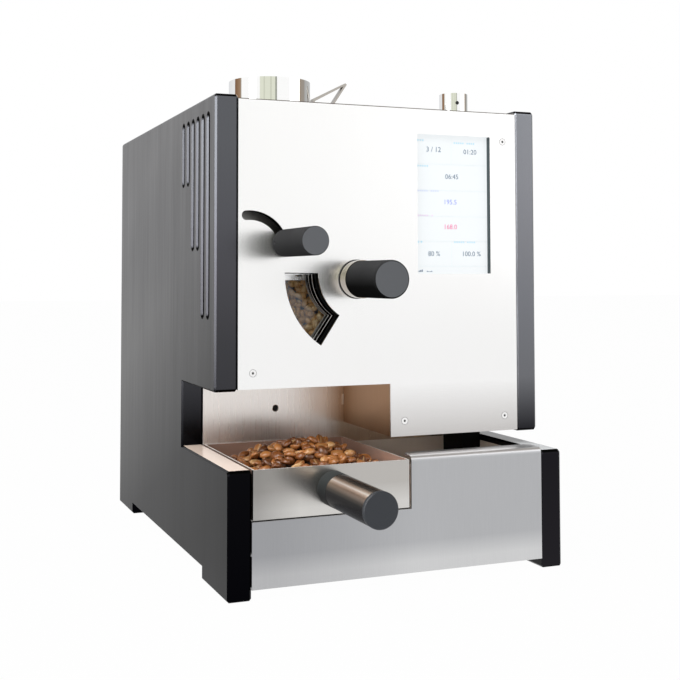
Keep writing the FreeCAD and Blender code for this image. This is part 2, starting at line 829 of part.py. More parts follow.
# Black plate behind the front panel, seen as the second edge in the slot and the window.
def innerPanel():
    span = (innerPanelFront, innerPanelFront + innerPanelThickness)
    through = (span[0] - 1, span[1] + 1)
    left, right = sheetLeft, displayX - moduleMargin - screenMargin - fitGap
    plate = block("inner_plate", (left, right), span,
                  (panelLeftBottom + linerThickness + dropCollar, deckBottom - fitGap))
    tools = [leverSlot("inner_lever_slot", leverSlotWidth / 2, through),
             windowSector("inner_window", -windowStep, through, -growAngle(windowStep)),
             rod("inner_trier", "y", guideRadius + fitGap, (trierX, trierZ), through)]
    node(cut("inner_panel_cut", plate, *tools), "inner_panel")


# Welded tab on the bulkhead with a hole that holds one end of the cable sleeve.
def cableTab(name, at, axis):
    y = (bulkheadFront - cableTabReach, bulkheadFront)
    half = cableTabWidth / 2
    if axis == "x":
        tab = block(name, (at[0], at[0] + cableTabThickness), y, (at[1] - half, at[1] + half))
        hole = rod(name + "_hole", "x", cableRadius + fitGap, (cableY, at[1]),
                   (at[0] - 1, at[0] + cableTabThickness + 1))
    else:
        tab = block(name, (at[0] - half, at[0] + half), y, (at[1], at[1] + cableTabThickness))
        hole = rod(name + "_hole", "z", cableRadius + fitGap, (at[0], cableY),
                   (at[1] - 1, at[1] + cableTabThickness + 1))
    return cut(name + "_bored", tab, hole)


# Steel bulkhead that carries the chamber, the lever, the door and the trier.
def bulkhead():
    span = (bulkheadFront, bulkheadBack)
    through = (span[0] - 1, span[1] + 1)
    bottom = panelLeftBottom + linerThickness + fitGap
    plate = block("bulkhead_plate", (sheetLeft, sheetRight), span, (bottom, deckBottom - fitGap))
    tools = [windowSector("bulkhead_window", zero, through),
             rod("bulkhead_port", "y", portRadius, (portX, portZ), through),
             rod("bulkhead_trier", "y", guideRadius + fitGap, (trierX, trierZ), through),
             rod("bulkhead_feed", "y", feedRadius, (feedX, feedZ), through),
             block("bulkhead_pass", (feedPassLeft, feedPassRight), through, (feedBendZ - 1, height))]
    holed = cut("bulkhead_holed", plate, *tools)
    leverStud = rod("lever_stud", "y", studRadius, (leverX, leverZ), (leverStudFront, bulkheadFront))
    doorStud = rod("door_stud", "y", studRadius, (doorPivotX, doorPivotZ),
                   (quadrantFront - 1, bulkheadFront))
    tabs = [cableTab("lever_tab", (cableStart, cableZ), "x"),
            cableTab("door_tab", (cableEndX, cableStop), "z")]
    node(fuse("bulkhead_welded", holed, leverStud, doorStud, *tabs), "bulkhead")


def topPanel():
    body = newBody("top_panel_body")
    padOn(body, "top_sheet", "XY_Plane",
          [rect((sheetLeft, sheetRight), (panelThickness + fitGap, sheetBack))],
          deckBottom, panelThickness)
    holes = [(hopperX, hopperY, throatRadius + hopperWall), (damperX, damperY, damperShaftRadius + fitGap)]
    pocketIn(body, "top_holes", "XY_Plane", holes, deckBottom, panelThickness)
    vent = (width / 2 - ventPitch * (ventCount - 1) / 2, sheetBack - ventInset - ventLength,
            sheetBack - ventInset, ventWidth / 2)
    first = pocketIn(body, "top_vent", "XY_Plane", [vent], deckBottom, panelThickness)
    repeat(body, "top_vents", first, "H_Axis", ventCount, ventPitch)
    node(body, "top_panel")


def rearPanel():
    body = newBody("rear_panel_body")
    outline = rect((sheetLeft, sheetRight), (floorTop, deckBottom - fitGap))
    padOn(body, "rear_sheet", "XZ_Plane", [outline], rearPanelFront, panelThickness)
    reach = inletWidth / 2 - inletRim + fitGap
    rise = inletHeight / 2 - inletRim + fitGap
    inlet = rect((inletX - reach, inletX + reach), (inletZ - rise, inletZ + rise))
    pocketIn(body, "rear_openings", "XZ_Plane", [inlet, (damperX, pipeZ, pipeRadius + fitGap)],
             rearPanelFront,
             panelThickness)
    low = panelRightBottom + 40
    vent = (width / 2 - ventPitch * (ventCount - 1) / 2, low, low + ventLength, ventWidth / 2)
    first = pocketIn(body, "rear_vent", "XZ_Plane", [vent], rearPanelFront, panelThickness)
    repeat(body, "rear_vents", first, "H_Axis", ventCount, ventPitch)
    node(body, "rear_panel")


# Folded hood over the tray: ceiling, right side wall and the collar of the drop hole.
def cavityHood():
    y = (panelThickness + fitGap, notchDepth - fitGap)
    ceiling = (panelLeftBottom, panelLeftBottom + linerThickness)
    sheet = block("hood_ceiling", (sheetLeft, hoodSide + linerThickness), y, ceiling)
    wall = block("hood_side", (hoodSide, hoodSide + linerThickness), y,
                 (panelRightBottom + fitGap, ceiling[1]))
    collarY = (innerPanelFront + 2, bulkheadFront - fitGap)
    collar = block("drop_collar", (dropLeft, dropRight), collarY, (ceiling[0], ceiling[0] + dropCollar))
    inside = block("drop_inside", (dropLeft + linerThickness, dropRight - linerThickness),
                   (collarY[0] + linerThickness, collarY[1] - linerThickness),
                   (ceiling[0] - 1, ceiling[0] + dropCollar + 1))
    node(cut("hood_cut", fuse("hood", sheet, wall, collar), inside), "cavity_hood")


# Rear wall of tray bay and basin, higher on the tray's side, with the sensor hole.
def cavityRearWall():
    body = newBody("cavity_rear_wall_body")
    left = hoodSide + linerThickness
    low = panelRightBottom
    corners = [(sheetLeft, floorTop), (sheetRight, floorTop), (sheetRight, low), (left, low),
               (left, panelLeftBottom + linerThickness), (sheetLeft, panelLeftBottom + linerThickness)]
    padOn(body, "rear_wall_sheet", "XZ_Plane", [corners], notchDepth, linerThickness)
    pocketIn(body, "sensor_hole", "XZ_Plane", [(sensorHoleX, sensorHoleZ, sensorHoleRadius)], notchDepth,
             linerThickness)
    node(body, "cavity_rear_wall")


# Floor of the upper body, L-shaped round the hood.
def upperFloor():
    body = newBody("upper_floor_body")
    corner = hoodSide + linerThickness + fitGap
    front = panelThickness + fitGap
    corners = [(corner, front), (sheetRight, front), (sheetRight, sheetBack), (sheetLeft, sheetBack),
               (sheetLeft, wallBack + fitGap), (corner, wallBack + fitGap)]
    padOn(body, "upper_floor_sheet", "XY_Plane", [corners], panelRightBottom + fitGap, panelThickness)
    node(body, "upper_floor")


def baseFrontPanel():
    body = newBody("base_front_panel_body")
    cutRight = trayRight + panelCutGap
    cutTop = trayBottom - panelTopGap
    corners = [(sheetLeft, basePanelBottom), (sheetRight, basePanelBottom), (sheetRight, baseFlangeTop),
               (cutRight, baseFlangeTop), (cutRight, cutTop), (sheetLeft, cutTop)]
    padOn(body, "base_sheet", "XZ_Plane", [corners], baseFront, panelThickness)
    flange = padOn(body, "base_flange", "XY_Plane",
                   [rect((cutRight, sheetRight), (baseFront, baseFront + baseFlangeReach))],
                   baseFlangeTop - panelThickness, panelThickness)

    bendReach = (sheetRight - cutRight).value / 2

    def isBend(edge):
        box = edge.BoundBox
        onTop = box.ZMin > baseFlangeTop.value - 0.01
        return onTop and box.YMax < baseFront.value + 0.01 and box.XLength > bendReach

    bent = dress(body, "Fillet", "base_bend", flange, baseBend, isBend)

    def isFlangeCorner(edge):
        box = edge.BoundBox
        upright = box.ZLength > 1 and box.XLength < 0.01 and box.YLength < 0.01
        return upright and box.YMin > (baseFront + baseFlangeReach).value - 0.01

    dress(body, "Fillet", "base_flange_corners", bent, flangeCorner, isFlangeCorner)
    node(body, "base_front_panel")


def baseFloor():
    body = newBody("base_floor_body")
    outline = rect((sheetLeft, sheetRight), (basePanelBack, sheetBack))
    padOn(body, "floor_sheet", "XY_Plane", [outline], floorBottom, panelThickness)
    vent = (trayMiddle - ventPitch * (ventCount - 1) / 2, fanY - ventLength / 2, fanY + ventLength / 2,
            ventWidth / 2)
    first = pocketIn(body, "floor_vent", "XY_Plane", [vent], floorBottom, panelThickness)
    repeat(body, "floor_vents", first, "H_Axis", ventCount, ventPitch)
    node(body, "base_floor")


# Shelf that the tray slides on, with the fan's round opening.
def trayShelf():
    right = basinLeft - fitGap
    plate = block("shelf_plate", (sheetLeft, right), (basePanelBack + 3, notchDepth - fitGap),
                  (shelfTop - linerThickness, shelfTop))
    hole = rod("shelf_hole", "z", fanBore, (trayMiddle, fanY), (shelfTop - 5, shelfTop + 5))
    node(cut("shelf_cut", plate, hole), "tray_shelf")


# Open steel basin in the right half of the base.
def basinLiner():
    y = (basePanelBack + fitGap, notchDepth - fitGap)
    z = (floorTop, basinWallTop)
    outer = block("basin_outer", (basinLeft, sheetRight), y, z)
    inner = block("basin_inner", (basinLeft + linerThickness, sheetRight - linerThickness),
                  (y[0] + linerThickness, y[1] - linerThickness), (z[0] + linerThickness, z[1] + 1))
    node(cut("basin", outer, inner), "basin_liner")


# Black moulded duct in the basin's rear corner that takes the wiring up to the body.
def cableDuct():
    right = sheetRight - linerThickness - fitGap
    back = notchDepth - fitGap - linerThickness - fitGap
    x = (right - ductWidth, right)
    y = (back - ductDepth, back)
    z = (floorTop + linerThickness, panelRightBottom)
    outer = block("duct_outer", x, y, z)
    inner = block("duct_inner", (x[0] + 2, x[1] - 2), (y[0] + 2, y[1] - 2), (z[0] - 1, z[1] + 1))
    node(cut("duct", outer, inner), "cable_duct")


# Sliding tray: open box with an air opening in its floor, perforated screen and round handle.
def beanTray():
    x = (trayLeft, trayRight)
    y = (baseFront, trayBack)
    z = (trayBottom, trayTop)
    outer = block("tray_outer", x, y, z)
    inner = block("tray_inner", (x[0] + trayWall, x[1] - trayWall), (y[0] + trayWall, y[1] - trayWall),
                  (z[0] + trayWall, z[1] + 1))
    edge = trayWall + trayLedge
    window = block("tray_window", (x[0] + edge, x[1] - edge), (y[0] + edge, y[1] - edge),
                   (z[0] - 1, z[0] + trayWall + 1))
    node(cut("tray", outer, inner, window), "tray_pan")
    body = newBody("tray_screen_body")
    lift = z[0] + trayWall
    sheetX = (x[0] + trayWall + fitGap, x[1] - trayWall - fitGap)
    sheetY = (y[0] + trayWall + fitGap, y[1] - trayWall - fitGap)
    padOn(body, "screen_sheet", "XY_Plane", [rect(sheetX, sheetY)], lift, screenSheet)
    columnPitch = (sheetX[1] - sheetX[0] - 2 * edge) / (perforationColumns - 1)
    rowPitch = (sheetY[1] - sheetY[0] - 2 * edge - perforationLength) / (perforationRows - 1)
    straight = perforationLength - perforationWidth
    row = []
    for i in range(perforationColumns):
        low = sheetY[0] + edge + perforationWidth / 2
        row.append((sheetX[0] + edge + columnPitch * i, low, low + straight, perforationWidth / 2))
    first = pocketIn(body, "screen_row", "XY_Plane", row, lift, screenSheet)
    repeat(body, "screen_rows", first, "V_Axis", perforationRows, rowPitch)
    node(body, "tray_screen")
    at = (trayMiddle, gripZ)
    collarEnd = baseFront - gripCollar
    capStart = -gripEnd + gripCap
    node(rod("grip_collar", "y", grip, at, (collarEnd, baseFront)), "tray_handle_collar")
    node(rod("grip_tube", "y", grip - gripTubeStep, at, (capStart, collarEnd)), "tray_handle_tube")
    face = taper("grip_cap_face", "y", (grip - gripChamfer, grip), at, (-gripEnd, -gripEnd + gripChamfer))
    disc = rod("grip_cap_disc", "y", grip, at, (-gripEnd + gripChamfer, capStart))
    node(fuse("grip_cap", face, disc), "tray_handle_cap")


# Axial fan below the shelf: square frame with struts, and the rotor on its pin.
def coolingFan():
    half = fanSide / 2
    at = (trayMiddle, fanY)
    top = shelfTop - linerThickness
    z = (top - fanDepth, top)
    frame = block("fan_block", (at[0] - half, at[0] + half), (at[1] - half, at[1] + half), z)
    bored = cut("fan_bored", frame, rod("fan_bore", "z", fanBore, at, (z[0] - 1, z[1] + 1)))
    foot = rod("fan_foot", "z", fanHubRadius, at, (z[0], z[0] + fanFoot))
    struts = [block("fan_strut_x", (at[0] - half + 1, at[0] + half - 1),
                    (at[1] - fanStrut / 2, at[1] + fanStrut / 2), (z[0], z[0] + fanFoot)),
              block("fan_strut_y", (at[0] - fanStrut / 2, at[0] + fanStrut / 2),
                    (at[1] - half + 1, at[1] + half - 1), (z[0], z[0] + fanFoot))]
    peg = rod("fan_peg", "z", fanPinRadius, at, (z[0], z[0] + fanPinLength))
    node(fuse("fan_frame", bored, foot, peg, *struts), "cooling_fan_frame")
    low = z[0] + fanFoot + rotorFootGap
    high = z[1] - rotorTopGap
    hub = rod("rotor_hub", "z", fanHubRadius, at, (low, high))
    blades = []
    for i in range(fanBlades):
        blade = doc.addObject("Part::Box", "rotor_blade")
        bind(blade, "Length", fanBladeRadius)
        bind(blade, "Width", fanBladeThickness)
        bind(blade, "Height", rotorBladeRise)
        turn = FreeCAD.Rotation(vec(0, 0, 1), 360.0 * i / fanBlades)
        blade.Placement.Rotation = turn * FreeCAD.Rotation(vec(1, 0, 0), fanBladeTilt.value)
        offset = turn.multVec(vec(0, rotorBladeShift.value, 0))
        blades.append(place(blade, at[0] + offset.x, at[1] + offset.y, low + 1))
    swept = common("rotor_swept", fuse("rotor_blades", *blades),
                   rod("rotor_limit", "z", fanBladeRadius, at, (low, high)))
    solid = fuse("rotor_solid", hub, swept)
    node(cut("rotor", solid,
             rod("rotor_bore", "z", fanPinRadius + runGap, at, (low - 1, low + rotorBoreDepth))),
             "cooling_fan_rotor")


# Rotating drum: shell with vented rear disc, lifting vanes, flanged shaft and pulley.
def drum():
    at = (drumX, drumZ)
    inside = drumRadius - drumWall
    shell = rod("drum_outer", "y", drumRadius, at, (drumFront, drumBack))
    hollow = rod("drum_hollow", "y", inside, at, (drumFront - 1, drumBack - drumWall))
    tools = [hollow, rod("drum_centre", "y", shaftRadius + 0.2, at, (drumBack - 5, drumBack + 1))]
    for i in range(drumVentCount):
        spot = around(at, drumVentCircle, 360.0 * i / drumVentCount)
        tools.append(rod("drum_vent", "y", drumVentRadius, spot, (drumBack - 5, drumBack + 1)))
    node(cut("drum", shell, *tools), "drum_shell")
    vanes = []
    for i in range(vaneCount):
        vane = doc.addObject("Part::Box", "vane")
        bind(vane, "Length", vaneHeight)
        bind(vane, "Width", drumLength - drumWall - 2 * vaneEndGap)
        bind(vane, "Height", vaneThickness)
        angle = 45 + 360.0 * i / vaneCount
        vane.Placement.Rotation = FreeCAD.Rotation(vec(0, 1, 0), -angle)
        x, z = around(at, inside - vaneHeight - fitGap, angle)
        vanes.append(place(vane, x, drumFront + vaneEndGap, z))
    node(group("vanes", *vanes), "drum_vanes")
    pulleyFront = rearPlateBack + fitGap + carrierLength + pulleyGap
    shaftEnd = pulleyFront + pulleyWidth + 4
    shaft = rod("shaft_rod", "y", shaftRadius, at, (drumBack - 4, shaftEnd))
    flange = rod("shaft_flange", "y", shaftFlangeRadius, at, (drumBack, drumBack + shaftFlangeThickness))
    node(fuse("shaft", shaft, flange), "drum_shaft")
    bore = rod("pulley_bore", "y", shaftRadius + pressGap, at, (pulleyFront - 1, shaftEnd))
    node(cut("pulley", pulleyRim("drum_wheel", at, pulleyRadius, pulleyFront), bore), "drum_pulley")
    motorAt = (motorX, motorZ)
    motorFront = rearPlateBack + fitGap
    wheel = pulleyRim("motor_wheel", motorAt, motorPulleyRadius, pulleyFront)
    stub = rod("motor_stub", "y", motorShaftRadius, motorAt,
               (motorFront + motorLength - motorShaftDepth, pulleyFront + pulleyWidth))
    node(fuse("motor_rotor", wheel, stub), "motor_pulley")
    can = rod("motor_can", "y", motorRadius, motorAt, (motorFront, motorFront + motorLength))
    hole = rod("motor_bore", "y", motorShaftRadius + runGap, motorAt,
               (motorFront + motorLength - motorShaftDepth - 1, motorFront + motorLength + 1))
    node(cut("motor", can, hole), "drum_motor")
    belt(at, motorAt, pulleyFront + (pulleyWidth - beltWidth) / 2)


def pulleyRim(name, at, radius, front):
    rim = rod(name + "_rim", "y", radius, at, (front + 1, front + pulleyWidth - 1))
    guards = [rod(name + "_guard", "y", radius + 2, at, (front, front + 1)),
              rod(name + "_guard", "y", radius + 2, at, (front + pulleyWidth - 1, front + pulleyWidth))]
    return fuse(name, rim, *guards)


# Loop round two pulleys: two arcs joined by their outer tangents.
def beltFace(first, second, firstRadius, secondRadius, y):
    a = vec(first[0].value, y, first[1].value)
    b = vec(second[0].value, y, second[1].value)
    along = b - a
    lean = math.acos((firstRadius - secondRadius) / along.Length)
    heading = math.atan2(along.z, along.x)

    def point(centre, radius, angle):
        return centre + vec(radius * math.cos(angle), 0, radius * math.sin(angle))

    p1, p2 = point(a, firstRadius, heading + lean), point(b, secondRadius, heading + lean)
    p3, p4 = point(b, secondRadius, heading - lean), point(a, firstRadius, heading - lean)
    far, near = point(b, secondRadius, heading), point(a, firstRadius, heading + math.pi)
    edges = [Part.LineSegment(p1, p2).toShape(), Part.Arc(p2, far, p3).toShape(),
             Part.LineSegment(p3, p4).toShape(), Part.Arc(p4, near, p1).toShape()]
    return Part.Face(Part.Wire(edges))


def belt(first, second, front):
    inside = fitGap.value + 0.05
    y = front.value
    rise = vec(0, beltWidth.value, 0)
    outer = beltFace(first, second, pulleyRadius.value + inside + beltThickness.value,
                     motorPulleyRadius.value + inside + beltThickness.value, y).extrude(rise)
    inner = beltFace(first, second, pulleyRadius.value + inside, motorPulleyRadius.value + inside,
                     y).extrude(rise)
    item = doc.addObject("Part::Feature", "belt")
    item.Shape = outer.cut(inner)
    node(item, "drum_belt")


# Fixed chamber round the drum, its insulation, rear plate and heater.
def chamber():
    at = (drumX, drumZ)
    wall = 1.5
    span = (bulkheadBack, chamberBack)
    shell = tube("chamber_tube", "y", (chamberRadius - wall, chamberRadius), at, span)
    branch = (branchY, branchZ)
    outlet = rod("chamber_outlet", "x", pipeRadius - pipeWall, branch,
                 (drumX + pipeRoot, drumX + chamberRadius + pipeOverlap))
    node(cut("chamber_holed", shell, outlet), "chamber_shell")
    outside = chamberRadius + fitGap + insulationThickness
    wrap = tube("wrap", "y", (chamberRadius + fitGap, outside), at, span)
    passage = rod("wrap_passage", "x", pipeRadius + fitGap, branch,
                  (drumX + pipeRoot, drumX + outside + pipeOverlap))
    node(cut("wrap_holed", wrap, passage), "chamber_insulation")
    plateSpan = (chamberBack, rearPlateBack)
    through = (plateSpan[0] - 1, plateSpan[1] + 1)
    plate = block("rear_plate", (drumX - rearPlateMargin, rearPlateRight), plateSpan,
                  (drumZ - rearPlateMargin, drumZ + rearPlateMargin))
    tools = [rod("rear_plate_shaft", "y", shaftRadius + 1, at, through),
             rod("rear_plate_air", "y", outletRadius, (outletX, outletZ), through)]
    tails = heaterTails(at)
    tools.append(rod("rear_plate_pipe", "y", pipeRadius + fitGap, (damperX, pipeZ), through))
    for spot in tails:
        tools.append(rod("rear_plate_heater", "y", heaterTubeRadius + fitGap, spot, through))
    node(cut("rear_plate_cut", plate, *tools), "chamber_rear_plate")
    rings = []
    lastRing = chamberBack - 12
    for i in range(heaterRings):
        ring = doc.addObject("Part::Torus", "heater_ring")
        bind(ring, "Radius1", heaterRadius)
        bind(ring, "Radius2", heaterTubeRadius)
        ring.Placement.Rotation = FreeCAD.Rotation(vec(1, 0, 0), 90)
        rings.append(place(ring, at[0], lastRing - heaterPitch * i, at[1]))
    firstRing = lastRing - heaterPitch * (heaterRings - 1)
    for spot in tails:
        rings.append(rod("heater_tail", "y", heaterTailRadius, spot,
                         (firstRing - 1, rearPlateBack + heaterTail)))
    node(fuse("heater", *rings), "heater_element")


def heaterTails(at):
    return [around(at, heaterRadius, angle) for angle in (70.0, 110.0)]


def bearings():
    at = (drumX, drumZ)
    front = rearPlateBack + fitGap
    back = front + carrierLength
    flange = rod("carrier_flange", "y", carrierFlangeRadius, at, (front, front + carrierFlangeThickness))
    barrel = rod("carrier_barrel", "y", carrierRadius, at, (front, back))
    bore = rod("carrier_bore", "y", bearingRadius + pressGap, at, (front - 1, back + 1))
    node(cut("carrier", fuse("carrier_solid", flange, barrel), bore), "bearing_carrier")
    rings = []
    for start in (front + 2, back - 2 - bearingWidth):
        rings.append(tube("bearing", "y", (shaftRadius + runGap, bearingRadius), at,
                          (start, start + bearingWidth)))
    node(group("bearing_pair", *rings), "drum_bearings")


# A flat ring round the window; inset moves its opening inwards, a negative one outwards.
def windowRing(name, inset, span):
    through = (span[0] - 1, span[1] + 1)
    outer = windowSector(name + "_outer", windowMargin, span, growAngle(windowMargin))
    inner = windowSector(name + "_inner", -inset, through, -growAngle(inset))
    return cut(name, outer, inner)


# Black spacers, steel rings that step inwards, steel retainer and heatproof glass, stacked
# between inner panel and bulkhead.
def beanWindow():
    front = innerPanelFront + innerPanelThickness
    glassFront = bulkheadFront - fitGap - glassThickness
    retainerFront = glassFront - fitGap - retainerThickness
    spacers = []
    steel = []
    for i in range(ringCount):
        start = front + ringPitch * i
        stop = start + ringPitch - ringThickness
        if i == ringCount - 1:
            stop = retainerFront
        else:
            steel.append(windowRing("window_ring", windowStep * (i + 2), (stop, stop + ringThickness)))
        spacers.append(windowRing("window_spacer", -spacerRecess, (start, stop)))
    node(group("spacers", *spacers), "window_frames")
    span = (retainerFront, retainerFront + retainerThickness)
    through = (span[0] - 1, span[1] + 1)
    outer = windowSector("retainer_outer", windowMargin, span, growAngle(windowMargin))
    inset = windowStep * (ringCount + 1)
    opening = windowSector("retainer_opening", -inset, through, -growAngle(inset))
    top = drumZ + windowOuter * math.sin(math.radians(windowStart.value))
    below = block("retainer_below", (drumX - 2 * windowOuter, drumX), through,
                  (drumZ - 2 * windowOuter, top - retainerLip))
    hole = common("retainer_hole", opening, below)
    slotX = drumX - windowOuter + retainerSlotInset
    slotTop = top - retainerSlotTop
    catch = block("retainer_slot", (slotX, slotX + retainerSlotLength), through,
                  (slotTop, slotTop + retainerSlotHeight))
    node(group("retainer_and_rings", cut("retainer", outer, hole, catch), *steel), "glass_retainer")
    pane = windowSector("pane", glassMargin, (glassFront, glassFront + glassThickness),
                        growAngle(glassMargin))
    node(pane, "window_glass")


# Lever on its stud, with the stem through the arc slot and the cable quadrant.
def dischargeLever():
    at = (leverX, leverZ)
    tip = around(at, leverReach, leverRest)
    back = bulkheadFront - fitGap
    hub = rod("lever_hub", "y", leverHubRadius, at, (leverArmFront, back))
    armSpan = (leverArmFront, leverArmFront + leverArmThickness)
    arm = doc.addObject("Part::Box", "lever_arm")
    bind(arm, "Length", leverReach)
    bind(arm, "Width", leverArmThickness)
    bind(arm, "Height", leverArmWidth)
    turn = FreeCAD.Rotation(vec(0, 1, 0), -leverRest.value)
    arm.Placement.Rotation = turn
    down = turn.multVec(vec(0, 0, -leverArmWidth.value / 2))
    place(arm, at[0] + down.x, armSpan[0], at[1] + down.z)
    tipBoss = rod("lever_tip", "y", leverArmWidth / 2, tip, armSpan)
    stem = rod("lever_stem", "y", leverStemRadius, tip, (-leverStemDepth, armSpan[1]))
    wheel = rod("lever_quadrant", "y", quadrantRadius, at,
                (quadrantFront, quadrantFront + quadrantThickness))
    solid = fuse("lever_solid", hub, arm, tipBoss, stem, wheel)
    bore = rod("lever_bore", "y", studRadius + runGap, at, (leverStudFront - 0.5, back + 1))
    node(cut("lever", solid, bore), "discharge_lever")
    span = (-knobEnd, -knobGap)
    barrel = rod("knob_barrel", "y", knobRadius, tip, (span[0] + knobChamfer, span[1]))
    nose = taper("knob_nose", "y", (knobRadius - knobChamfer, knobRadius), tip,
                 (span[0], span[0] + knobChamfer))
    socket = rod("knob_socket", "y", leverStemRadius + pressGap, tip, (-leverStemDepth - stemEndGap, zero))
    pinHole = rod("knob_pin", "x", setScrewRadius, (-setScrewOffset, tip[1]),
                  (tip[0] - knobRadius - 1, tip[0] - leverStemRadius))
    node(cut("knob", fuse("knob_solid", barrel, nose), socket, pinHole), "discharge_knob")


# Door that swings off the drum's port on its own stud.
def dischargeDoor():
    at = (doorPivotX, doorPivotZ)
    span = (bulkheadFront - fitGap - doorThickness, bulkheadFront - fitGap)
    disc = rod("door_disc", "y", portRadius + doorLap, (portX, portZ), span)
    reach = math.hypot(portX.value - doorPivotX.value, portZ.value - doorPivotZ.value)
    angle = math.degrees(math.atan2(portZ.value - doorPivotZ.value, portX.value - doorPivotX.value))
    arm = doc.addObject("Part::Box", "door_arm")
    bind(arm, "Length", reach)
    bind(arm, "Width", doorThickness)
    bind(arm, "Height", doorArmWidth)
    turn = FreeCAD.Rotation(vec(0, 1, 0), -angle)
    arm.Placement.Rotation = turn
    down = turn.multVec(vec(0, 0, -doorArmWidth.value / 2))
    place(arm, at[0] + down.x, span[0], at[1] + down.z)
    hub = rod("door_hub", "y", doorHubRadius, at, (quadrantFront, span[1]))
    wheel = rod("door_quadrant", "y", quadrantRadius, at,
                (quadrantFront, quadrantFront + quadrantThickness))
    bore = rod("door_bore", "y", studRadius + runGap, at, (quadrantFront - 1, span[1] + 1))
    node(cut("door", fuse("door_solid", disc, arm, hub, wheel), bore), "discharge_door")


# Sleeved cable from the lever's quadrant to the door's, bare wire at both ends.
def doorCable():
    y = cableY.value
    z = cableZ.value
    x = cableEndX.value
    bend = cableBend.value
    start = vec(cableStart.value, y, z)
    turnIn = vec(x - bend, y, z)
    middle = vec(x - bend + bend * math.sin(math.pi / 4), y, z - bend + bend * math.cos(math.pi / 4))
    turnOut = vec(x, y, z - bend)
    end = vec(x, y, cableStop.value)
    path = Part.Wire([Part.LineSegment(start, turnIn).toShape(),
                      Part.Arc(turnIn, middle, turnOut).toShape(),
                      Part.LineSegment(turnOut, end).toShape()])
    profile = Part.Wire(Part.Circle(start, vec(1, 0, 0), cableRadius.value).toShape())
    sleeve = path.makePipeShell([profile], True, False)
    leadLength = cableStart.value - leverX.value
    lead = Part.makeCylinder(wireRadius.value, leadLength + 1, vec(leverX.value, y, z), vec(1, 0, 0))
    drop = Part.makeCylinder(wireRadius.value, cableStop.value - doorPivotZ.value + 1,
                             vec(x, y, doorPivotZ.value))
    item = doc.addObject("Part::Feature", "cable")
    item.Shape = sleeve.fuse([lead, drop]).removeSplitter()
    node(item, "door_cable")


# Sampling trier: gasket, fixed guide, turning bush, and the spoon with its handle.
def trier():
    at = (trierX, trierZ)
    node(tube("gasket", "y", (guideRadius + fitGap, gasketRadius), at, (-gasketThickness, zero)),
         "trier_gasket")
    collarBack = -gasketThickness
    collarFront = collarBack - collarLength
    collar = rod("guide_collar", "y", collarRadius, at, (collarFront, collarBack))
    barrel = rod("guide_barrel", "y", guideRadius, at, (collarFront, bulkheadBack))
    bore = rod("guide_bore", "y", guideBore, at, (collarFront - 1, bulkheadBack + 1))
    node(cut("guide", fuse("guide_solid", collar, barrel), bore), "trier_guide")
    bushInner = guideBore - runGap - bushThickness
    bush = tube("bush", "y", (bushInner, guideBore - runGap), at,
                (collarFront + collarLip, bulkheadBack - 1))
    node(bush, "trier_bush")
    handleBack = collarFront - fitGap
    spoonRadius = bushInner - runGap
    solid = rod("spoon_rod", "y", spoonRadius, at, (handleBack - 14, bulkheadBack))
    trough = tube("spoon_tube", "y", (spoonRadius - spoonWall, spoonRadius), at, (bulkheadBack, spoonEnd))
    upper = block("spoon_upper", (at[0] - 20, at[0] + 20), (bulkheadBack - 1, spoonEnd + 1),
                  (at[1], at[1] + 20))
    end = rod("spoon_end", "y", spoonRadius, at, (spoonEnd - 2, spoonEnd))
    scoop = cut("spoon_scoop", fuse("spoon_closed", trough, end), upper)
    node(fuse("spoon", solid, scoop), "trier_spoon")
    face = taper("handle_face", "y", (handleRadius - handleChamfer, handleRadius), at,
                 (-handleEnd, -handleEnd + handleChamfer))
    barrel = rod("handle_barrel", "y", handleRadius, at, (-handleEnd + handleChamfer, handleBack))
    socket = rod("handle_socket", "y", spoonRadius + pressGap, at, (handleBack - 14.5, handleBack + 1))
    node(cut("handle", fuse("handle_solid", face, barrel), socket), "trier_handle")


# Round steel hopper with funnel, and the slide gate with its folded sheet handle.
def hopper():
    at = (hopperX, hopperY)
    inside = hopperRadius - hopperWall
    wall = tube("hopper_wall", "z", (inside, hopperRadius), at, (panelTop, hopperTop))
    funnelTop = hopperTop - funnelTopDrop
    funnelBottom = panelTop + fitGap * 2 + gateThickness
    outer = taper("funnel_outer", "z", (throatRadius + hopperWall, inside + funnelPress), at,
                  (funnelBottom, funnelTop))
    inner = taper("funnel_inner", "z", (throatRadius, inside - hopperWall), at, (funnelBottom, funnelTop))
    funnel = cut("funnel", outer, inner)
    halfGate = gateWidth / 2 + gateSlitPlay
    slit = block("gate_slit", (at[0] + gateSlitStart, at[0] + gateSlitEnd),
                 (at[1] - halfGate, at[1] + halfGate), (panelTop - 1, funnelBottom - gateSlitGap))
    node(cut("hopper_cut", fuse("hopper_solid", wall, funnel), slit), "hopper")
    low = panelTop + fitGap
    left = hopperX - throatRadius - gateOverlap
    plate = block("gate_plate", (left, gateEnd), (at[1] - gateWidth / 2, at[1] + gateWidth / 2),
                  (low, low + gateThickness))
    node(fuse("gate", plate, gateHandle(low)), "hopper_gate")


# Inverted V of bent strip that stands on the gate's outer end.
def gateHandle(low):
    body = newBody("gate_handle_body")
    start = hopperX + hopperRadius + gateFootGap
    strip = gateThickness
    knee = start + gateKneeRun
    outline = [(start, low + strip / 2), (start + strip, low + strip / 2),
               (knee + strip, gateKneeZ - strip * 0.6),
               (gatePeakX - strip * 1.6, gatePeakZ - strip * 1.9), (gateEnd - strip * 1.2, low + strip / 2),
               (gateEnd, low + strip / 2), (gatePeakX + strip * 0.6, gatePeakZ - strip * 0.7),
               (gatePeakX - strip * 0.4, gatePeakZ), (knee, gateKneeZ + strip * 0.7)]
    padOn(body, "gate_strip", "XZ_Plane", [outline], hopperY - gateHandleWidth / 2, gateHandleWidth)
    return body


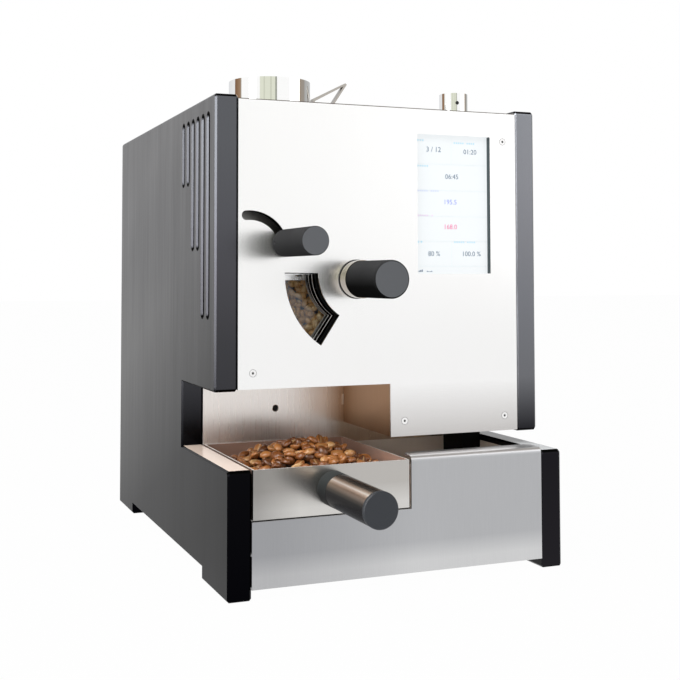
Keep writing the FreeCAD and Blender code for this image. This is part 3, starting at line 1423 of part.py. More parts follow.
# Sheet chute from the hopper's throat down to the feed hole in the bulkhead.
def feedChute():
    wall = linerThickness.value
    y = (innerPanelFront.value + innerPanelThickness.value + fitGap.value,
         bulkheadFront.value - fitGap.value)
    half = feedWidth.value / 2
    x = (feedX.value - half, feedX.value + half)
    bottom = feedZ.value - feedRadius.value - feedBottomGap.value
    bendZ = feedBendZ.value
    top = deckBottom.value - fitGap.value
    mouth = feedMouth.value / 2

    def ring(inset, x0, x1, y0, y1, z):
        a, b, c, d = x0 + inset, x1 - inset, y0 + inset, y1 - inset
        corners = [vec(a, c, z), vec(b, c, z), vec(b, d, z), vec(a, d, z)]
        return Part.makePolygon(corners + [corners[0]])

    def column(inset, extra):
        low = ring(inset, x[0], x[1], y[0], y[1], bottom + inset)
        bend = ring(inset, x[0], x[1], y[0], y[1], bendZ)
        high = ring(inset, hopperX.value - mouth, hopperX.value + mouth, hopperY.value - mouth,
                    hopperY.value + mouth,
                    top + extra)
        return Part.makeLoft([low, bend], True, True).fuse(Part.makeLoft([bend, high], True, True))

    hole = Part.makeCylinder(feedRadius.value, 10, vec(feedX.value, y[1] - 5, feedZ.value), vec(0, 1, 0))
    item = doc.addObject("Part::Feature", "chute")
    item.Shape = column(0.0, 0.0).cut([column(wall, 0.01), hole]).removeSplitter()
    node(item, "feed_chute")


# Damper: knurl-free steel knob on the deck, shaft and flap in the exhaust pipe.
def damper():
    at = (damperX, damperY)
    knobBottom = panelTop + damperKnobGap
    knob = rod("damper_barrel", "z", damperKnobRadius, at, (knobBottom, damperTop))
    shaftTop = knobBottom + damperShaftDepth
    bore = rod("damper_bore", "z", damperShaftRadius + pressGap, at, (knobBottom - 1, shaftTop + 0.5))
    screw = doc.addObject("Part::Cylinder", "damper_screw_hole")
    bind(screw, "Radius", damperScrewRadius)
    bind(screw, "Height", damperKnobRadius + 2)
    turn = FreeCAD.Rotation(vec(0, 0, 1), damperScrewTurn.value)
    screw.Placement.Rotation = turn * FreeCAD.Rotation(vec(0, 1, 0), 90)
    place(screw, at[0], at[1], damperTop - damperScrewDrop)
    node(cut("damper_knob_cut", knob, bore, screw), "damper_knob")
    shaft = rod("damper_shaft", "z", damperShaftRadius, at, (pipeZ - pipeRadius - 4, shaftTop))
    flapRadius = pipeRadius - pipeWall - 0.8
    flap = rod("damper_disc", "x", flapRadius, (at[1], pipeZ), (at[0] - 0.8, at[0] + 0.8))
    node(fuse("damper_vane", shaft, flap), "damper_flap")


# Exhaust pipe: branch from the chamber, riser, and the run to the spigot at the back.
def exhaustPipe():
    inner = pipeRadius - pipeWall
    end = depth + spigotReach

    def run(name, radius, extra):
        branch = rod(name + "_branch", "x", radius, (branchY, branchZ),
                     (drumX + pipeRoot, damperX + radius))
        riser = rod(name + "_riser", "z", radius, (damperX, branchY), (branchZ - radius, pipeZ + radius))
        long = rod(name + "_long", "y", radius, (damperX, pipeZ), (branchY - radius, end + extra))
        return fuse(name, branch, riser, long)

    outside = run("pipe_outside", pipeRadius, 0)
    inside = run("pipe_inside", inner, 1)
    clear = rod("pipe_clear", "y", chamberRadius + fitGap, (drumX, drumZ), (branchY - 40, branchY + 40))
    pins = rod("pipe_shaft", "z", damperShaftRadius + runGap, (damperX, damperY),
               (pipeZ - pipeRadius - 5, pipeZ + pipeRadius + 5))
    node(cut("pipe", outside, inside, clear, pins), "exhaust_pipe")


# Hot-air blower on the chamber's rear plate, with outlet duct and motor can.
def blower():
    at = (blowerX, blowerZ)
    front = rearPlateBack + fitGap
    back = front + blowerDepth
    scroll = rod("blower_scroll", "y", blowerRadius, at, (front, back))
    duct = block("blower_duct", (outletX - outletRadius - blowerDuctWall, blowerX), (front, back),
                 (outletZ - outletRadius - blowerDuctWall, outletZ + outletRadius + blowerDuctWall))
    can = rod("blower_motor", "y", blowerMotorRadius, at, (back, back + blowerMotorLength))
    cavity = rod("blower_cavity", "y", blowerRadius - blowerWall, at,
                 (front + blowerWall, back - blowerWall))
    passage = block("blower_passage", (outletX - outletRadius - blowerPassageGap, blowerX),
                    (front + blowerWall, back - blowerWall),
                    (outletZ - outletRadius - blowerPassageGap, outletZ + outletRadius + blowerPassageGap))
    outlet = rod("blower_outlet", "y", outletRadius, (outletX, outletZ),
                 (front - 1, front + blowerWall + 1))
    bore = rod("blower_bore", "y", motorShaftRadius + runGap, at,
               (back - blowerWall - 1, back + blowerBoreReach))
    slots = []
    for i in range(intakeCount):
        spot = around(at, blowerRadius - intakeInset, 45.0 + 360.0 * i / intakeCount)
        slots.append(rod("blower_intake", "y", intakeRadius, spot, (back - blowerWall - 1, back + 1)))
    solid = fuse("blower_solid", scroll, duct, can)
    node(cut("blower", solid, cavity, passage, outlet, bore, *slots), "blower_housing")
    wheelFront = front + blowerWall + impellerGap
    disc = rod("impeller_disc", "y", impellerRadius, at, (wheelFront, wheelFront + impellerDisc))
    hub = rod("impeller_hub", "y", impellerHub, at, (wheelFront, wheelFront + impellerWidth))
    vanes = []
    for i in range(impellerVanes):
        vane = doc.addObject("Part::Box", "impeller_vane")
        angle = 360.0 * i / impellerVanes
        bind(vane, "Length", impellerRadius * 0.45)
        bind(vane, "Width", impellerWidth - 1)
        bind(vane, "Height", impellerVaneThickness)
        vane.Placement.Rotation = FreeCAD.Rotation(vec(0, 1, 0), -angle - impellerVaneTurn.value)
        x, z = around(at, impellerRadius * 0.55, angle)
        vanes.append(place(vane, x, wheelFront + 1, z))
    limit = rod("impeller_limit", "y", impellerRadius, at, (wheelFront, wheelFront + impellerWidth))
    blades = common("impeller_blades", fuse("impeller_vanes", *vanes), limit)
    axle = rod("impeller_axle", "y", motorShaftRadius, at, (wheelFront, back + blowerAxleReach))
    node(fuse("impeller", disc, hub, blades, axle), "blower_impeller")


# Screen glass behind the front panel's opening, and the display's housing with its posts.
def display():
    x = (displayX - screenMargin, displayX + displayWidth + screenMargin)
    z = (displayZ - screenMargin, displayZ + displayHeight + screenMargin)
    glassBack = screenRecess + screenThickness
    node(block("screen_glass", x, (screenRecess, glassBack), z), "display_glass")
    wide = (x[0] - moduleMargin, x[1] + moduleMargin)
    tall = (z[0] - moduleMargin, z[1] + moduleMargin)
    case = block("module_case", wide, (glassBack, glassBack + moduleDepth), tall)
    posts = []
    for px in (x[0], x[1] - postSide):
        for low in ((tall[0] - postSide, tall[0]), (tall[1], tall[1] + postSide)):
            post = block("module_post", (px, px + postSide), (panelThickness, glassBack + moduleDepth), low)
            posts.append(post)
    node(fuse("module", case, *posts), "display_module")


# Mains inlet module in the rear panel, and its rocker switch.
def powerInlet():
    outside = depth - rearPanelInset
    half, rise = inletWidth / 2, inletHeight / 2
    lip = block("inlet_lip", (inletX - half, inletX + half), (outside, outside + inletLip),
                (inletZ - rise, inletZ + rise))
    box = block("inlet_box", (inletX - half + inletRim, inletX + half - inletRim),
                (outside - inletBody, outside),
                (inletZ - rise + inletRim, inletZ + rise - inletRim))
    socketZ = inletZ - socketDrop
    back = outside + inletLip
    socket = block("inlet_socket", (inletX - socketWidth / 2, inletX + socketWidth / 2),
                   (back - socketDepth, back + 1),
                   (socketZ - socketHeight / 2, socketZ + socketHeight / 2))
    rockerAt = (back - rockerSink, inletZ + rockerRise)
    pit = rod("rocker_pit", "x", rockerRadius + rockerGap, rockerAt,
              (inletX - rockerWidth / 2 - rockerGap, inletX + rockerWidth / 2 + rockerGap))
    shell = cut("inlet_shell", fuse("inlet_solid", lip, box), socket, pit)
    contacts = []
    for side in (-1, 0, 1):
        x = inletX + contactPitch * side
        middle = socketZ + earthRise if side == 0 else socketZ - liveDrop
        contacts.append(block("contact", (x - contactWidth / 2, x + contactWidth / 2),
                              (back - socketDepth - 1, back - contactRecess),
                              (middle - contactHeight / 2, middle + contactHeight / 2)))
    node(fuse("inlet", shell, *contacts), "power_inlet")
    drumRod = rod("rocker_round", "x", rockerRadius, rockerAt,
                  (inletX - rockerWidth / 2, inletX + rockerWidth / 2))
    faces = []
    for side in (-1, 1):
        wedge = doc.addObject("Part::Box", "rocker_face")
        bind(wedge, "Length", rockerWidth + 2)
        bind(wedge, "Width", rockerRadius)
        bind(wedge, "Height", rockerRadius * 1.5)
        lean = rockerTilt.value * side - rockerTilt.value
        turn = FreeCAD.Rotation(vec(1, 0, 0), lean)
        wedge.Placement.Rotation = turn
        shift = turn.multVec(vec(0, rockerFaceRise.value, 0 if side > 0 else -rockerRadius.value * 1.5))
        faces.append(place(wedge, inletX - rockerWidth / 2 - 1, rockerAt[0] + shift.y,
                           rockerAt[1] + shift.z))
    node(cut("rocker", drumRod, *faces), "power_rocker")


def buildAll():
    sidePlate("left_side_plate", zero, leftNotchTop)
    sidePlate("right_side_plate", width - plateThickness, rightNotchTop)
    frontPanel()
    panelScrews()
    innerPanel()
    bulkhead()
    topPanel()
    rearPanel()
    cavityHood()
    cavityRearWall()
    upperFloor()
    baseFrontPanel()
    baseFloor()
    trayShelf()
    basinLiner()
    cableDuct()
    beanTray()
    coolingFan()
    drum()
    chamber()
    bearings()
    beanWindow()
    dischargeLever()
    dischargeDoor()
    doorCable()
    trier()
    hopper()
    feedChute()
    damper()
    exhaustPipe()
    blower()
    display()
    powerInlet()


# Stop on any object that failed or came out empty, then write each piece.
def writeAll():
    doc.recompute()
    failed = []
    for item in doc.Objects:
        if "Invalid" in item.State or "Error" in item.State:
            failed.append(item.Name + " " + str(item.State))
    for item in pieces:
        if item.Shape.isNull() or not item.Shape.isValid() or not item.Shape.Solids:
            failed.append(item.Label + " has no valid solid")
    if failed:
        raise RuntimeError("; ".join(failed))
    os.makedirs("parts", exist_ok=True)
    for item in pieces:
        item.Shape.exportStep(os.path.join("parts", item.Label + ".step"))
    print(len(pieces), "pieces written")


buildAll()
writeAll()
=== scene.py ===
import math
import random

import bmesh
import bpy
from mathutils import Euler, Matrix, Vector


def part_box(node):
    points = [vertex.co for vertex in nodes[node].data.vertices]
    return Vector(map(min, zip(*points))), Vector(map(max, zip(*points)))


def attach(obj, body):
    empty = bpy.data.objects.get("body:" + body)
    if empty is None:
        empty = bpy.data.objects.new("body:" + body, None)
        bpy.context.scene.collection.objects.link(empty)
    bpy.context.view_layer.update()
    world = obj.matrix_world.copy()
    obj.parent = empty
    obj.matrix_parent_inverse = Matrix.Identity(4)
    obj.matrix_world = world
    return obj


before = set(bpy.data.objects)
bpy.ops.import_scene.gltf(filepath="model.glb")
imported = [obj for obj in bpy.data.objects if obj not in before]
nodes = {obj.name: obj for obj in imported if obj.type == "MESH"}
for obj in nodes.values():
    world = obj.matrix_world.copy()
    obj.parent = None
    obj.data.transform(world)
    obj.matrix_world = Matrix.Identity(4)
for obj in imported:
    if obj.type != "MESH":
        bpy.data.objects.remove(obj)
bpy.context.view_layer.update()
print("frame loaded:", len(nodes), "nodes")

# The machine's own x starts at the left plate's outer face, its own y at the front panel's face.
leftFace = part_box("left_side_plate")[0][0]
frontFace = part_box("front_panel")[0][1]
trayLow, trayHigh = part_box("tray_pan")


def spot(x, y, z):
    return Vector((x + leftFace, y + frontFace, z))


# The camera stands front left of the machine, a little above its middle.
camera = {
    "place": (-0.31118, -1.11856, 0.31613),
    "turn": 22.151,  # degrees from straight ahead towards the right
    "rise": 2.75,
    "roll": -0.11,
    "lens": 59.83,
    "shiftX": -0.0082,
    "shiftY": -0.1736,
    "sensor": 36.0,
    "sight": 60,
}


def makeCamera(values):
    data = bpy.data.cameras.new("photoCamera")
    data.sensor_width = values["sensor"]
    data.lens = values["lens"]
    data.shift_x = values["shiftX"]
    data.shift_y = values["shiftY"]
    data.clip_end = values["sight"]
    eye = bpy.data.objects.new("photoCamera", data)
    eye.location = spot(*values["place"])
    turn = Matrix.Rotation(math.radians(-values["turn"]), 4, "Z")
    rise = Matrix.Rotation(math.radians(90 + values["rise"]), 4, "X")
    roll = Matrix.Rotation(math.radians(values["roll"]), 4, "Z")
    eye.rotation_euler = (turn @ rise @ roll).to_euler()
    bpy.context.scene.collection.objects.link(eye)
    bpy.context.scene.camera = eye


makeCamera(camera)


# A shader socket on which + - * / add Math nodes.
class Wire:
    def __init__(self, finish, socket):
        self.finish = finish
        self.socket = socket

    def output(self, key):
        return Wire(self.finish, self.socket.node.outputs[key])

    def maths(self, operation, *values):
        return self.finish.node("ShaderNodeMath", {"operation": operation}, dict(enumerate(values)))

    def __add__(self, other):
        return self.maths("ADD", self, other)

    def __sub__(self, other):
        return self.maths("SUBTRACT", self, other)

    def __mul__(self, other):
        return self.maths("MULTIPLY", self, other)

    def __truediv__(self, other):
        return self.maths("DIVIDE", self, other)

    def __rsub__(self, other):
        return self.maths("SUBTRACT", other, self)

    def __rtruediv__(self, other):
        return self.maths("DIVIDE", other, self)

    __radd__ = __add__
    __rmul__ = __mul__


# The nodes of one material or of the world, and the few recipes that they share.
class Finish:
    def __init__(self, owner, shader):
        self.owner = owner
        self.tree = owner.node_tree
        self.shader = self.tree.nodes[shader]

    # The one way to any node: its type, its settings, then its sockets' values or links.
    def node(self, kind, settings=None, values=None, output=0):
        made = self.tree.nodes.new(kind)
        for key, value in (settings or {}).items():
            if key == "stops":
                self.setStops(made.color_ramp, value)
            else:
                setattr(made, key, value)
        for key, value in (values or {}).items():
            self.feed(made.inputs[key], value)
        return Wire(self, made.outputs[output])

    def setStops(self, ramp, stops):
        ramp.elements.remove(ramp.elements[1])
        ramp.elements[0].position = stops[0][0]
        for place, colour in stops[1:]:
            ramp.elements.new(place)
        for element, (place, colour) in zip(ramp.elements, stops):
            element.color = (*colour, 1)

    def feed(self, socket, value):
        if isinstance(value, Wire):
            self.tree.links.new(value.socket, socket)
        elif isinstance(value, tuple) and socket.type == "RGBA" and len(value) == 3:
            socket.default_value = (*value, 1)
        else:
            socket.default_value = value

    def set(self, socket, value):
        self.feed(self.shader.inputs[socket], value)
        return self

    def place(self):
        return self.node("ShaderNodeTexCoord", output="Object")

    def stretched(self, scale):
        return self.node("ShaderNodeMapping", None, {"Vector": self.place(), "Scale": scale})

    def noise(self, vector, detail=2.0, rough=0.5, scale=1.0):
        values = {"Vector": vector, "Scale": scale, "Detail": detail, "Roughness": rough}
        return self.node("ShaderNodeTexNoise", None, values)

    def remap(self, value, low, high, first=0.0, last=1.0):
        values = {0: value, 1: low, 2: high, 3: first, 4: last}
        return self.node("ShaderNodeMapRange", {"clamp": True}, values)

    def mix(self, factor, first, second, blend="MIX"):
        settings = {"data_type": "RGBA", "blend_type": blend}
        return self.node("ShaderNodeMix", settings, {0: factor, 6: first, 7: second}, 2)

    def tinted(self, colour, tint):
        return self.mix(1.0, colour, tint, "MULTIPLY")

    # Two noises in shares, spread so that their usual range about one half fills 0 to 1.
    def blend(self, first, second, share, reach):
        return self.remap(first * share + second * (1.0 - share), 0.5 - reach, 0.5 + reach)

    def ramp(self, factor, stops):
        return self.node("ShaderNodeValToRGB", {"stops": stops}, {"Fac": factor})

    def bump(self, height, strength, distance):
        values = {"Height": height, "Strength": strength, "Distance": distance}
        return self.set("Normal", self.node("ShaderNodeBump", None, values))

    def split(self, vector):
        x = self.node("ShaderNodeSeparateXYZ", None, {0: vector})
        return x, x.output(1), x.output(2)

    # How far the surface looks to the right, to the back and up.
    def facing(self):
        return self.split(self.node("ShaderNodeNewGeometry", output="Normal"))


socketNames = {
    "colour": "Base Color",
    "metal": "Metallic",
    "rough": "Roughness",
    "grain": "Anisotropic",
    "coat": "Coat Weight",
    "coatRough": "Coat Roughness",
    "specular": "Specular IOR Level",
    "alpha": "Alpha",
    "glowColour": "Emission Color",
    "glow": "Emission Strength",
    "edgeTint": "Specular Tint",
}


def newFinish(name, **fixed):
    material = bpy.data.materials.new(name)
    material.use_nodes = True
    finish = Finish(material, "Principled BSDF")
    for key, value in fixed.items():
        finish.set(socketNames[key], value)
    return finish


def paint(finish, *names):
    for name in names:
        slots = nodes[name].data.materials
        if len(slots) == 0:
            slots.append(finish.owner)
        for i in range(len(slots)):
            slots[i] = finish.owner


# How far a surface has to look one way for a look to begin, and to be full.
turns = {
    "ringFront": (-0.7, -0.9),
    "paintedCrown": (0.3, 0.7),
    "rim": (0.9, 0.97),
    "broad": (0.9, 0.97),
    "paintedLedge": (0.97, 0.99),
    "under": (0.7, -0.4),
    "end": (0.9, 0.97),
    "tubeTop": (0.25, 0.60),
}
borderFade = 0.001  # metres over which a painted border fades
lineBump = 0.0002  # metres, the height of a brushed line
grainBump = 0.0003


# Sheet metal drawn along one axis: fine lines, faint broad clouding, a little bump.
def brushed(name, values):
    finish = newFinish(name, metal=values.get("metal", 1.0), grain=values["grain"])
    scale = [values["lines"]] * 3
    scale["xyz".index(values["along"])] = values["lines"] * values["stretch"]
    lines = finish.noise(finish.stretched(tuple(scale)), 3.0, 0.6)
    cloud = finish.noise(finish.stretched((9.0, 9.0, 5.0)), 2.0)
    colour = finish.mix(finish.blend(lines, cloud, 0.6, 0.2), values["dark"], values["light"])
    across, depth, height = finish.split(finish.place())
    # A tint that grows between two places: painted light and shade by height (foot) and across (side); inside
    # tints the tray's inside.
    for key, place in (("foot", height), ("side", across - leftFace), ("inside", depth - trayLow[1])):
        if key in values:
            tint, start, end = values[key]
            colour = finish.mix(finish.remap(place, start, end), colour, finish.tinted(colour, tint))
    _, toBack, up = finish.facing()
    if "steps" in values:  # rings that step inwards: painted shade, black on their front faces in front of the last one, but for their tops
        black, start, end, top = values["steps"]
        forward = finish.remap(toBack, *turns["ringFront"])
        below = finish.remap(height, top, top - borderFade)
        colour = finish.mix(forward * below * finish.remap(depth - frontFace, end, start), colour, black)
        finish.set("Metallic", forward)
    if "paintedCrown" in values:  # painted light and shade on a bend that looks up
        paintedCrown = finish.tinted(colour, values["paintedCrown"])
        colour = finish.mix(finish.remap(up, *turns["paintedCrown"]), colour, paintedCrown)
    if "inside" in values:  # duller in there; the rim is painted pale as a highlight
        _, start, end = values["inside"]
        edge = trayHigh[2] - borderFade
        rim = finish.remap(up, *turns["rim"]) * finish.remap(height, edge - borderFade, edge)
        colour = finish.mix(rim, colour, values["rim"])
        dull = finish.remap(depth - trayLow[1], start, end, 0.0, values["dull"])
        finish.set("Metallic", 1.0 - dull.maths("MAXIMUM", dull, rim))
    finish.set("Base Color", colour)
    smoothest, roughest = values["rough"] - 0.015, values["rough"] + 0.02
    finish.set("Roughness", finish.remap(lines, 0.25, 0.75, smoothest, roughest))
    return finish.bump(lines, values["bump"], lineBump)


# Black anodised plate: brushed on its broad faces, smooth and darker on every cut face. Painted light and
# shade:
# lighter towards the top, black where an edge slants up or down (painted shade), pale on the base's ledge
# (painted reflection).
def anodised(name, values):
    finish = newFinish(name, metal=1.0, grain=values["grain"], edgeTint=values["edgeTint"])
    scale = (values["lines"], values["lines"], values["lines"] * values["stretch"])
    lines = finish.noise(finish.stretched(scale), 3.0, 0.65)
    broad = finish.noise(finish.stretched((60.0, 60.0, 2.0)), 2.0)
    x, y, z = finish.split(finish.place())
    # painted light: the broad faces grow lighter towards the top and the back, with painted shade low down
    face = finish.ramp((z + y * values["backShare"]) / values["top"], values["face"])
    face = finish.mix(finish.blend(lines, broad, 0.7, 0.16), face, values["streak"], "MULTIPLY")
    # painted shade: the cut faces grow darker towards the bottom and are black at the foot
    edge = finish.ramp(z / values["top"], values["edges"])
    normalX, _, normalZ = finish.facing()
    # painted shade: an edge that slants up or down is painted near-black
    slant = finish.remap(normalZ.maths("ABSOLUTE", normalZ), *values["slant"])
    edge = finish.mix(slant, edge, values["slantPaintedShade"])
    # painted reflection: low faces that look straight up are painted pale and not metal
    paintedLedge = finish.remap(normalZ, *turns["paintedLedge"]) * finish.remap(z, *values["ledgeFrom"])
    edge = finish.mix(paintedLedge, edge, values["paintedLedge"])
    finish.set("Metallic", 1.0 - paintedLedge)
    broadFace = finish.remap(normalX.maths("ABSOLUTE", normalX), *turns["broad"])
    finish.set("Base Color", finish.mix(broadFace, edge, face))
    finish.set("Roughness", finish.remap(broadFace, 0.0, 1.0, values["edgeRough"], values["rough"]))
    return finish.bump(lines, values["bump"], lineBump)


# Satin paint or anodising with a fine grain.
def coated(name, values):
    finish = newFinish(name, specular=values.get("specular", 0.5))
    fine = finish.noise(finish.place(), 2.0, 0.6, values["grains"])
    cloud = finish.noise(finish.place(), 2.0, 0.5, 14.0)
    colour = finish.mix(finish.blend(fine, cloud, 0.6, 0.15), values["dark"], values["light"])
    if "under" in values:  # painted shade: darker on faces that look down
        colour = finish.mix(finish.remap(finish.facing()[2], *turns["under"]), colour, values["under"])
    if "face" in values:  # painted light: a turned part's end face, looking to the front, is painted lighter
        front = finish.facing()[1] * -1.0
        colour = finish.mix(finish.remap(front, *turns["end"]), colour, values["face"])
    finish.set("Base Color", colour)
    finish.set("Roughness", finish.remap(cloud, 0.3, 0.7, values["rough"] - 0.04, values["rough"] + 0.04))
    return finish.bump(fine, values["bump"], grainBump)


# Turned and polished metal: next to no texture, only very faint rings round its axis.
def polished(name, values):
    finish = newFinish(name, metal=1.0, rough=values["rough"], grain=values.get("grain", 0.0),
                       specular=values.get("specular", 0.5))
    scale = [8.0] * 3
    scale["xyz".index(values["axis"])] = 700.0
    rings = finish.noise(finish.stretched(tuple(scale)), 2.0, 0.5)
    colour = finish.mix(rings, values["dark"], values["light"])
    if "paintedBands" in values:  # painted light round a lying tube, from its underside to its top: painted shade below, a painted highlight near the top
        up = finish.facing()[2]
        colour = finish.tinted(colour, finish.ramp(up * 0.5 + 0.5, values["paintedBands"]))
        finish.set("Metallic", finish.remap(up, *turns["tubeTop"], 0.0, 0.6))
    finish.set("Base Color", colour)
    return finish


# Painted shade and light by height, from the foot (0) to the top (1): two ramps for the plates' cut faces,
# one for their broad faces.
plateEdgesPaintedShade = [(0.0, (0.002, 0.002, 0.003)), (0.25, (0.004, 0.004, 0.005)), (0.40, (0.048, 0.048, 0.054)),
              (0.50, (0.056, 0.056, 0.062)), (0.61, (0.072, 0.071, 0.080)), (0.75, (0.095, 0.096, 0.108)),
              (0.90, (0.110, 0.113, 0.124)), (1.0, (0.112, 0.116, 0.128))]
rightEdgesPaintedShade = [(0.0, (0.018, 0.017, 0.020)), (0.25, (0.014, 0.013, 0.016)), (0.29, (0.026, 0.026, 0.030)),
              (0.33, (0.070, 0.071, 0.078)), (0.40, (0.165, 0.168, 0.182)), (0.56, (0.190, 0.195, 0.215)),
              (0.70, (0.210, 0.213, 0.233)), (0.84, (0.236, 0.240, 0.262)), (1.0, (0.242, 0.250, 0.272))]
plateFacePaintedLight = [(0.0, (0.030, 0.030, 0.031)), (0.20, (0.056, 0.056, 0.058)), (0.42, (0.160, 0.160, 0.163)),
             (0.62, (0.262, 0.262, 0.266)), (0.85, (0.300, 0.300, 0.305)), (1.0, (0.345, 0.345, 0.350))]
leftPlate = {"lines": 750.0, "stretch": 0.012, "grain": 0.5, "rough": 0.36, "edgeRough": 0.22, "bump": 0.08,
             "backShare": 0.40, "face": plateFacePaintedLight, "streak": (0.62, 0.62, 0.62), "top": 0.505,
             "edges": plateEdgesPaintedShade, "edgeTint": (0.75, 0.75, 0.75), "slant": (0.30, 0.38),
             "slantPaintedShade": (0.003, 0.003, 0.003), "paintedLedge": (0.98, 0.80, 0.68), "ledgeFrom": (0.20, 0.19)}
rightPlate = dict(leftPlate, edges=rightEdgesPaintedShade, paintedLedge=(0.74, 0.76, 0.78))
# Front panel: painted shade, darker towards the bottom and on the bend that looks up.
frontFinish = {"along": "z", "lines": 1500.0, "stretch": 0.008, "grain": 0.75, "rough": 0.24, "bump": 0.012,
               "dark": (0.965, 0.96, 0.955), "light": (0.99, 0.988, 0.986),
               "foot": ((0.60, 0.58, 0.57), 0.20, 0.14), "paintedCrown": (0.24, 0.20, 0.16)}
# Base panel: painted light towards the bottom, painted shade towards the left, a painted highlight on the
# bend that looks up.
baseFinish = {"along": "z", "lines": 1500.0, "stretch": 0.02, "grain": 0.6, "rough": 0.3, "bump": 0.03,
              "dark": (0.46, 0.465, 0.48), "light": (0.50, 0.505, 0.52),
              "foot": ((1.38, 1.37, 1.34), 0.042, 0.022), "side": ((0.76, 0.76, 0.77), 0.20, 0.05),
              "paintedCrown": (1.9, 1.88, 1.85)}
# Rear wall: painted shade, browner towards the right by the hood.
wallFinish = {"along": "z", "lines": 1300.0, "stretch": 0.01, "grain": 0.6, "rough": 0.28, "bump": 0.0,
              "metal": 0.85, "dark": (0.97, 0.922, 0.887), "light": (0.976, 0.93, 0.897),
              "side": ((0.55, 0.43, 0.33), 0.172, 0.194)}
hoodFinish = {"along": "z", "lines": 1300.0, "stretch": 0.01, "grain": 0.6, "rough": 0.30, "bump": 0.01,
              "dark": (0.34, 0.195, 0.108), "light": (0.42, 0.245, 0.138)}
basinFinish = {"along": "z", "lines": 1300.0, "stretch": 0.01, "grain": 0.3, "rough": 0.5, "bump": 0.005,
               "metal": 0.0, "dark": (0.93, 0.82, 0.72), "light": (0.96, 0.855, 0.76)}
# Tray: painted light towards the bottom, painted shade towards the left, its rim painted pale as a highlight;
# warmer and duller inside.
trayFinish = {"along": "z", "lines": 1500.0, "stretch": 0.02, "grain": 0.5, "rough": 0.23, "bump": 0.002,
              "dark": (0.515, 0.495, 0.47), "light": (0.535, 0.515, 0.49),
              "foot": ((1.30, 1.32, 1.34), 0.105, 0.085), "side": ((0.60, 0.60, 0.60), 0.075, 0.030),
              "inside": ((1.20, 0.84, 0.70), 0.0035, 0.006),
              "dull": 0.7, "rim": (0.92, 0.86, 0.80)}
topFinish = {"along": "y", "lines": 1200.0, "stretch": 0.01, "grain": 0.5, "rough": 0.32, "bump": 0.03,
             "dark": (0.68, 0.67, 0.66), "light": (0.78, 0.77, 0.76)}
plainFinish = {"along": "z", "lines": 900.0, "stretch": 0.02, "grain": 0.3, "rough": 0.36, "bump": 0.03,
               "dark": (0.50, 0.49, 0.48), "light": (0.60, 0.59, 0.58)}
chamberFinish = {"along": "y", "lines": 500.0, "stretch": 0.03, "grain": 0.3, "rough": 0.38, "bump": 0.05,
                 "dark": (0.30, 0.28, 0.26), "light": (0.50, 0.48, 0.46)}
# Window retainer: its steps are painted shade on the front faces of its rings.
ringFinish = {"along": "x", "lines": 900.0, "stretch": 0.05, "grain": 0.2, "rough": 0.16, "bump": 0.0,
              "dark": (0.95, 0.95, 0.95), "light": (0.98, 0.98, 0.98),
              "steps": ((0.004, 0.004, 0.004), 0.0322, 0.0332, 0.3178)}
brightFinish = {"along": "x", "lines": 900.0, "stretch": 0.05, "grain": 0.2, "rough": 0.2, "bump": 0.0,
                "dark": (0.90, 0.89, 0.88), "light": (0.97, 0.965, 0.96)}
gateFinish = {"along": "x", "lines": 900.0, "stretch": 0.05, "grain": 0.2, "rough": 0.26, "bump": 0.0,
              "dark": (0.42, 0.39, 0.355), "light": (0.52, 0.49, 0.45)}
blackFinish = {"grains": 1800.0, "rough": 0.5, "bump": 0.1, "specular": 0.05, "dark": (0.004, 0.004, 0.004),
               "light": (0.010, 0.010, 0.010)}
# Knob finishes: painted shade on the underside, painted light on the end face.
knobFinish = {"grains": 2600.0, "rough": 0.5, "bump": 0.3, "specular": 0.0, "dark": (0.034, 0.034, 0.035),
              "light": (0.058, 0.058, 0.059), "under": (0.007, 0.007, 0.007), "face": (0.146, 0.152, 0.162)}
leverFinish = dict(knobFinish, under=(0.036, 0.036, 0.037))
collarFinish = {"grains": 2200.0, "rough": 0.45, "bump": 0.12, "specular": 0.02,
                "dark": (0.035, 0.039, 0.039), "light": (0.052, 0.056, 0.056), "under": (0.010, 0.010, 0.011)}
capFinish = {"grains": 2200.0, "rough": 0.45, "bump": 0.15, "dark": (0.016, 0.019, 0.025),
             "light": (0.026, 0.030, 0.038)}
# Painted light round the tray handle's tube: dark painted shade below, a bright painted highlight near the
# top.
tubePaintedLight = [(0.0, (0.020, 0.020, 0.022)), (0.50, (0.018, 0.017, 0.018)), (0.59, (0.026, 0.025, 0.025)),
             (0.68, (0.075, 0.064, 0.056)), (0.74, (0.17, 0.13, 0.105)), (0.82, (0.36, 0.26, 0.20)),
             (0.87, (0.72, 0.58, 0.48)), (0.895, (1.0, 0.92, 0.84)), (0.93, (0.55, 0.42, 0.33)),
             (0.97, (0.08, 0.07, 0.06)), (1.0, (0.03, 0.03, 0.03))]
tubeFinish = {"axis": "y", "rough": 0.24, "specular": 0.02, "dark": (0.90, 0.90, 0.90),
              "light": (1.0, 1.0, 1.0), "paintedBands": tubePaintedLight}
mirrorFinish = {"axis": "z", "rough": 0.045, "dark": (0.94, 0.94, 0.93), "light": (0.98, 0.98, 0.975)}
trierFinish = {"axis": "y", "rough": 0.11, "grain": 0.5, "dark": (0.36, 0.31, 0.265),
               "light": (0.48, 0.43, 0.375)}
rubberFinish = {"grains": 1500.0, "rough": 0.6, "bump": 0.12, "dark": (0.008, 0.008, 0.008),
                "light": (0.018, 0.018, 0.018)}
woolFinish = {"grains": 700.0, "rough": 0.9, "bump": 0.8, "dark": (0.55, 0.52, 0.45),
              "light": (0.8, 0.78, 0.7)}
